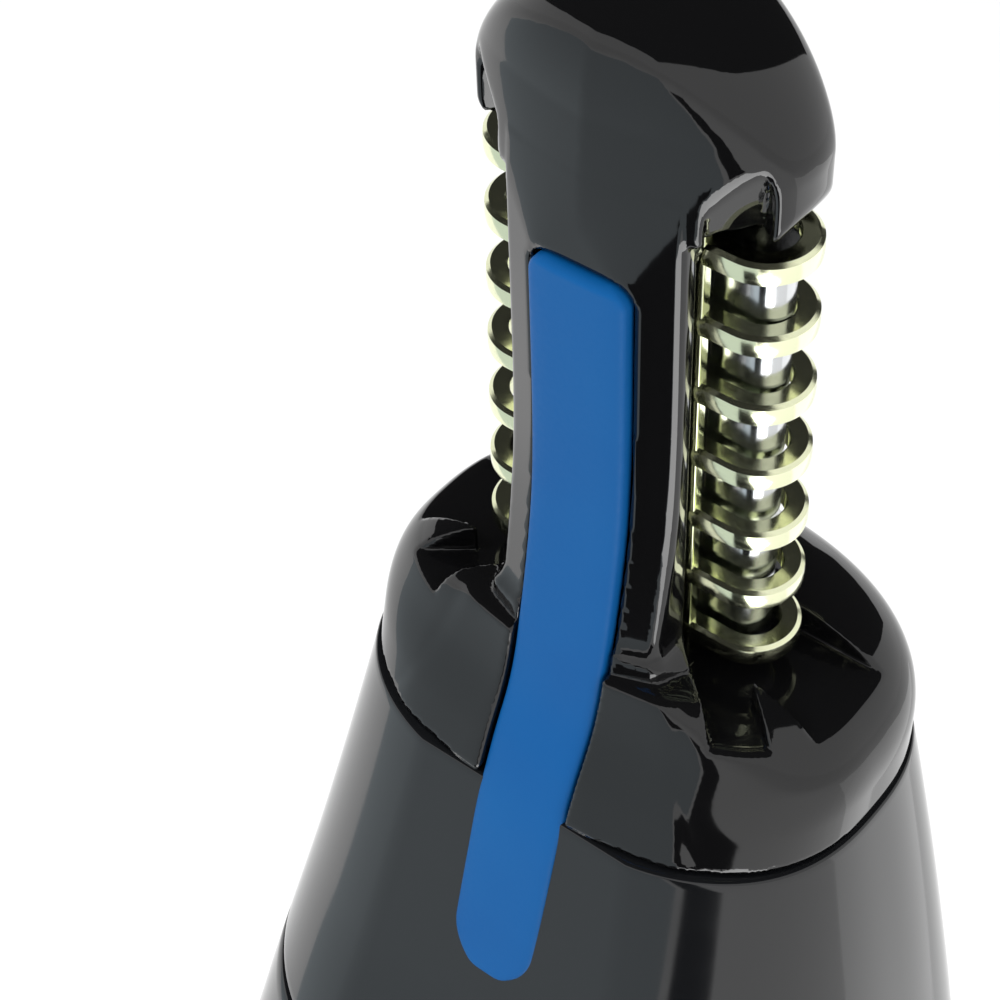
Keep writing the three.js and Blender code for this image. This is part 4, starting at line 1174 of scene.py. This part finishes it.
SLIDE_HALF_WIDTH, SLIDE_FRONT, SLIDE_BACK = 3.9, -7.9, -7.55
slide_reach = SWITCH_HALF_LENGTH + SWITCH_TRAVEL + 0.7
points, faces = block((-SLIDE_HALF_WIDTH, SLIDE_FRONT, SWITCH_HEIGHT - slide_reach),
                      (SLIDE_HALF_WIDTH, SLIDE_BACK, SWITCH_HEIGHT + slide_reach), 0.12)
mesh_piece("switch_slide", points, faces, body_abs, "switch", (), sharp=40)

# %% [markdown]
# ## Battery cap
# The cap is a cup that closes the handle's foot and that the trimmer stands on. It is one skin from
# its floor inside, up the inner wall, over the rim, down the outer wall and under.

# %% Battery cap
CUP_LENGTH, CUP_FLOOR, CUP_WALL, CUP_FOOT = 19.9, 3.0, 1.5, 1.5


def battery_cup():
    """Rings by (distance below the seam, inset), floor first. The lower edge is a quarter round."""
    rim, foot_start = BODY_LENGTH - CUP_LENGTH, BODY_LENGTH - CUP_FOOT
    turn = np.linspace(0, math.pi / 2, 8)[1:]
    inside = [(BODY_LENGTH - CUP_FLOOR, inset) for inset in (9.0, 6.0, 3.5, 1.8)]
    wall_in = [(d, CUP_WALL) for d in np.linspace(BODY_LENGTH - 3.2, rim + RIM_BREAK, 14)]
    over = [(rim, CUP_WALL - 0.1), (rim, RIM_BREAK), (rim + RIM_BREAK, 0)]
    wall_out = [(d, 0) for d in np.linspace(rim + 0.5, foot_start, 18)]
    foot = [(foot_start + CUP_FOOT * math.sin(t), CUP_FOOT * (1 - math.cos(t))) for t in turn]
    under = [(BODY_LENGTH, inset) for inset in (3.0, 6.0)]
    stations, inset = np.array(inside + wall_in + over + wall_out + foot + under).T
    angle = -(np.arange(144) + 0.5) / 144 * TAU
    return closed_loft(body_ring(stations, inset, angle))


points, faces = battery_cup()
mesh_piece("battery_cup", points, faces, body_abs, "cap", ["battery_cap"], sharp=50)

# %% [markdown]
# ## Cell
# The cell is a lathe shape: a can with rounded rims and a raised contact. Its profile turns about the
# handle's own axis.

# %% Cell
CELL_RADIUS, CELL_BOTTOM, CELL_TOP, CELL_RIM = 7.25, 13.5, 64.0, 0.5
CELL_SHOULDER = CELL_TOP - 1
CELL_SIDES = 96


def turned(profile, count):
    """Profile of (radius, height) points carried round the upright axis, from pole to pole."""
    radius, height = np.array(profile, float).T
    angle = np.arange(count) / count * TAU
    x, y = radius[:, None] * np.cos(angle), radius[:, None] * np.sin(angle)
    return closed_loft(np.stack([x, y, np.broadcast_to(height[:, None], x.shape)], -1))


turn = np.linspace(0, math.pi / 2, 5)
rim_in = CELL_RIM * (1 - np.sin(turn))
rim_up = CELL_RIM * (1 - np.cos(turn))
profile = [(0.02, CELL_BOTTOM), *zip(CELL_RADIUS - rim_in, CELL_BOTTOM + rim_up)]
profile += list(zip(CELL_RADIUS - rim_in, CELL_SHOULDER - rim_up))[::-1]
profile += [(3.4, CELL_SHOULDER), (2.7, CELL_TOP - 0.95), (2.7, CELL_TOP - 0.3),
            (2.4, CELL_TOP), (0.02, CELL_TOP)]
points, faces = turned(profile, CELL_SIDES)
mesh_piece("aa_cell", points, faces, cell_film, "handle", ["battery_cell"], sharp=40)

# %% [markdown]
# ## Seal rings
# Rubber rings of round section keep water out at the neck and at the battery cap. The neck is oval,
# so its ring is drawn flatter in depth, and it lies in the leaning head's frame.

# %% Seal rings
def ring_tube(radius, section, centre, flatten=1.0):
    """Round-section ring: a small circle carried round a large one, y times flatten."""
    large, small = np.arange(96) / 96 * TAU, np.arange(16) / 16 * TAU
    reach = radius + section * np.cos(small)[None]
    x, y = reach * np.cos(large)[:, None], reach * np.sin(large)[:, None] * flatten
    rise = np.broadcast_to(section * np.sin(small)[None], x.shape)
    points = np.stack([x, y, rise], -1) + np.array(centre, float)
    return points.reshape(-1, 3), [grid_quads(*x.shape, wrap_rows=True)[:, ::-1]]


points, faces = ring_tube(8.22, 0.2, (0, 0, 16))
mesh_piece("cap_o_ring", points, faces, dark_rubber, "cap", ["cap_seal"])
points, faces = ring_tube(5.3, 0.25, (0, 0, -17.2), flatten=4.0 / 5.3)
mesh_piece("collar_o_ring", in_row(points), faces, dark_rubber, "handle", ["collar_seal"])

# %% [markdown]
# ## Spring
# The cap's contact spring is a cone of round wire. A curve with a bevel would twist along the cone, so
# the wire's section is set square to the path at every step.

# %% Spring
def coil_skin(turns, base, rise, wide, narrow, wire):
    """Circle of radius wire along a helix whose radius falls from wide to narrow. At each step the
    circle lies across the path, in the plane of the outward and sideways directions."""
    t = np.linspace(0, 1, 240)
    angle = t * turns * TAU
    radius = wide + (narrow - wide) * t
    path = np.stack([radius * np.cos(angle), radius * np.sin(angle), base + rise * t], -1)
    along = np.gradient(path, axis=0)
    along /= np.linalg.norm(along, axis=1, keepdims=True)
    side = np.cross(along, np.stack([np.cos(angle), np.sin(angle), np.zeros_like(t)], -1))
    side /= np.linalg.norm(side, axis=1, keepdims=True)
    outward = np.cross(side, along)
    small = (np.arange(12) / 12 * TAU)[None, :, None]
    section = np.cos(small) * outward[:, None] + np.sin(small) * side[:, None]
    return closed_loft(path[:, None] + wire * section)


points, faces = coil_skin(turns=3, base=6.95, rise=6.0, wide=4.2, narrow=2.4, wire=0.35)
mesh_piece("coil_spring", points, faces, blade_steel, "cap", ["negative_spring"])

# %% [markdown]
# ## Shell screws
# Two pan heads with a cross sit in the wells. A boolean cross would be four thin cuts, so the head is a
# fine lathe grid instead, and its points sink wherever they fall inside the cross.

# %% Shell screws
SCREW_SUNK, HEAD_RADIUS, PAN_HEIGHT = 1.05, 1.7, 0.8
CROSS_HALF_WIDTH, CROSS_REACH, CROSS_DEPTH = 0.2, 0.95, 0.42
FACE_RINGS = 34


def screw_skin(z):
    """Lathe grid from the shank's end to the head's face, round the Y axis at height z. The cross
    is where the smaller of |x| and |z| is under its half width and the larger under its reach."""
    seat = surface_depth(0.0, z, False) - SCREW_SUNK
    side_radius = [0.02, 0.8, 0.8, 1.62, HEAD_RADIUS, 1.68, 1.6]
    side_height = [-0.8, -0.8, 0.0, 0.0, 0.1, 0.5, 0.68]
    radius = np.concatenate([side_radius, np.linspace(1.5, 0.02, FACE_RINGS)])
    dome = PAN_HEIGHT - 0.05 * np.linspace(1, 0, FACE_RINGS) ** 2
    height = np.concatenate([side_height, dome])
    angle = np.arange(96) / 96 * TAU
    x, up = radius[:, None] * np.cos(angle), radius[:, None] * np.sin(angle)
    arm = np.minimum(np.abs(x), np.abs(up))
    reach = np.maximum(np.abs(x), np.abs(up))
    inside = (np.clip((CROSS_HALF_WIDTH - arm) / 0.06, 0, 1)
              * np.clip((CROSS_REACH - reach) / 0.08, 0, 1))
    inside[:len(side_radius)] = 0
    return closed_loft(np.stack([x, seat + height[:, None] - CROSS_DEPTH * inside, z - up], -1))


for place, z in zip(("upper", "lower"), SCREW_HEIGHTS):
    points, faces = screw_skin(z)
    mesh_piece(f"screw_{place}", points, faces, motor_steel, "handle", [f"shell_screw_{place}"],
               sharp=35)

# %% [markdown]
# ## Inner pieces
# What lies inside keeps the frame's own meshes. Each gets the finish of its real counterpart, looked
# up by the slot that the record gives it, and a small bevel so that its edges catch the light.

# %% Inner pieces
EDGE_BREAK = 0.03
finish_of = {
    "drive_plastic": acetal, "blade_steel": blade_steel, "grey_plastic": body_abs,
    "dark_rubber": dark_rubber, "motor_steel": motor_steel, "contact_brass": contact_brass,
    "cell_wrap": cell_film, "black_plastic": black_abs, "blue_rubber": blue_rubber,
    "comb_steel": comb_steel,
}
slot_of = {part["node"]: part["material_slot"] for part in frame["record"]["subparts"]}
for name, node in frame["nodes"].items():
    node.data.materials.clear()
    node.data.materials.append(finish_of[slot_of[name]])
    bevel = node.modifiers.new("edge", "BEVEL")
    bevel.width = EDGE_BREAK * MM
    bevel.segments = 2
    bevel.limit_method = "ANGLE"
    bevel.angle_limit = math.radians(40)
print("frame nodes dressed:", len(frame["nodes"]))
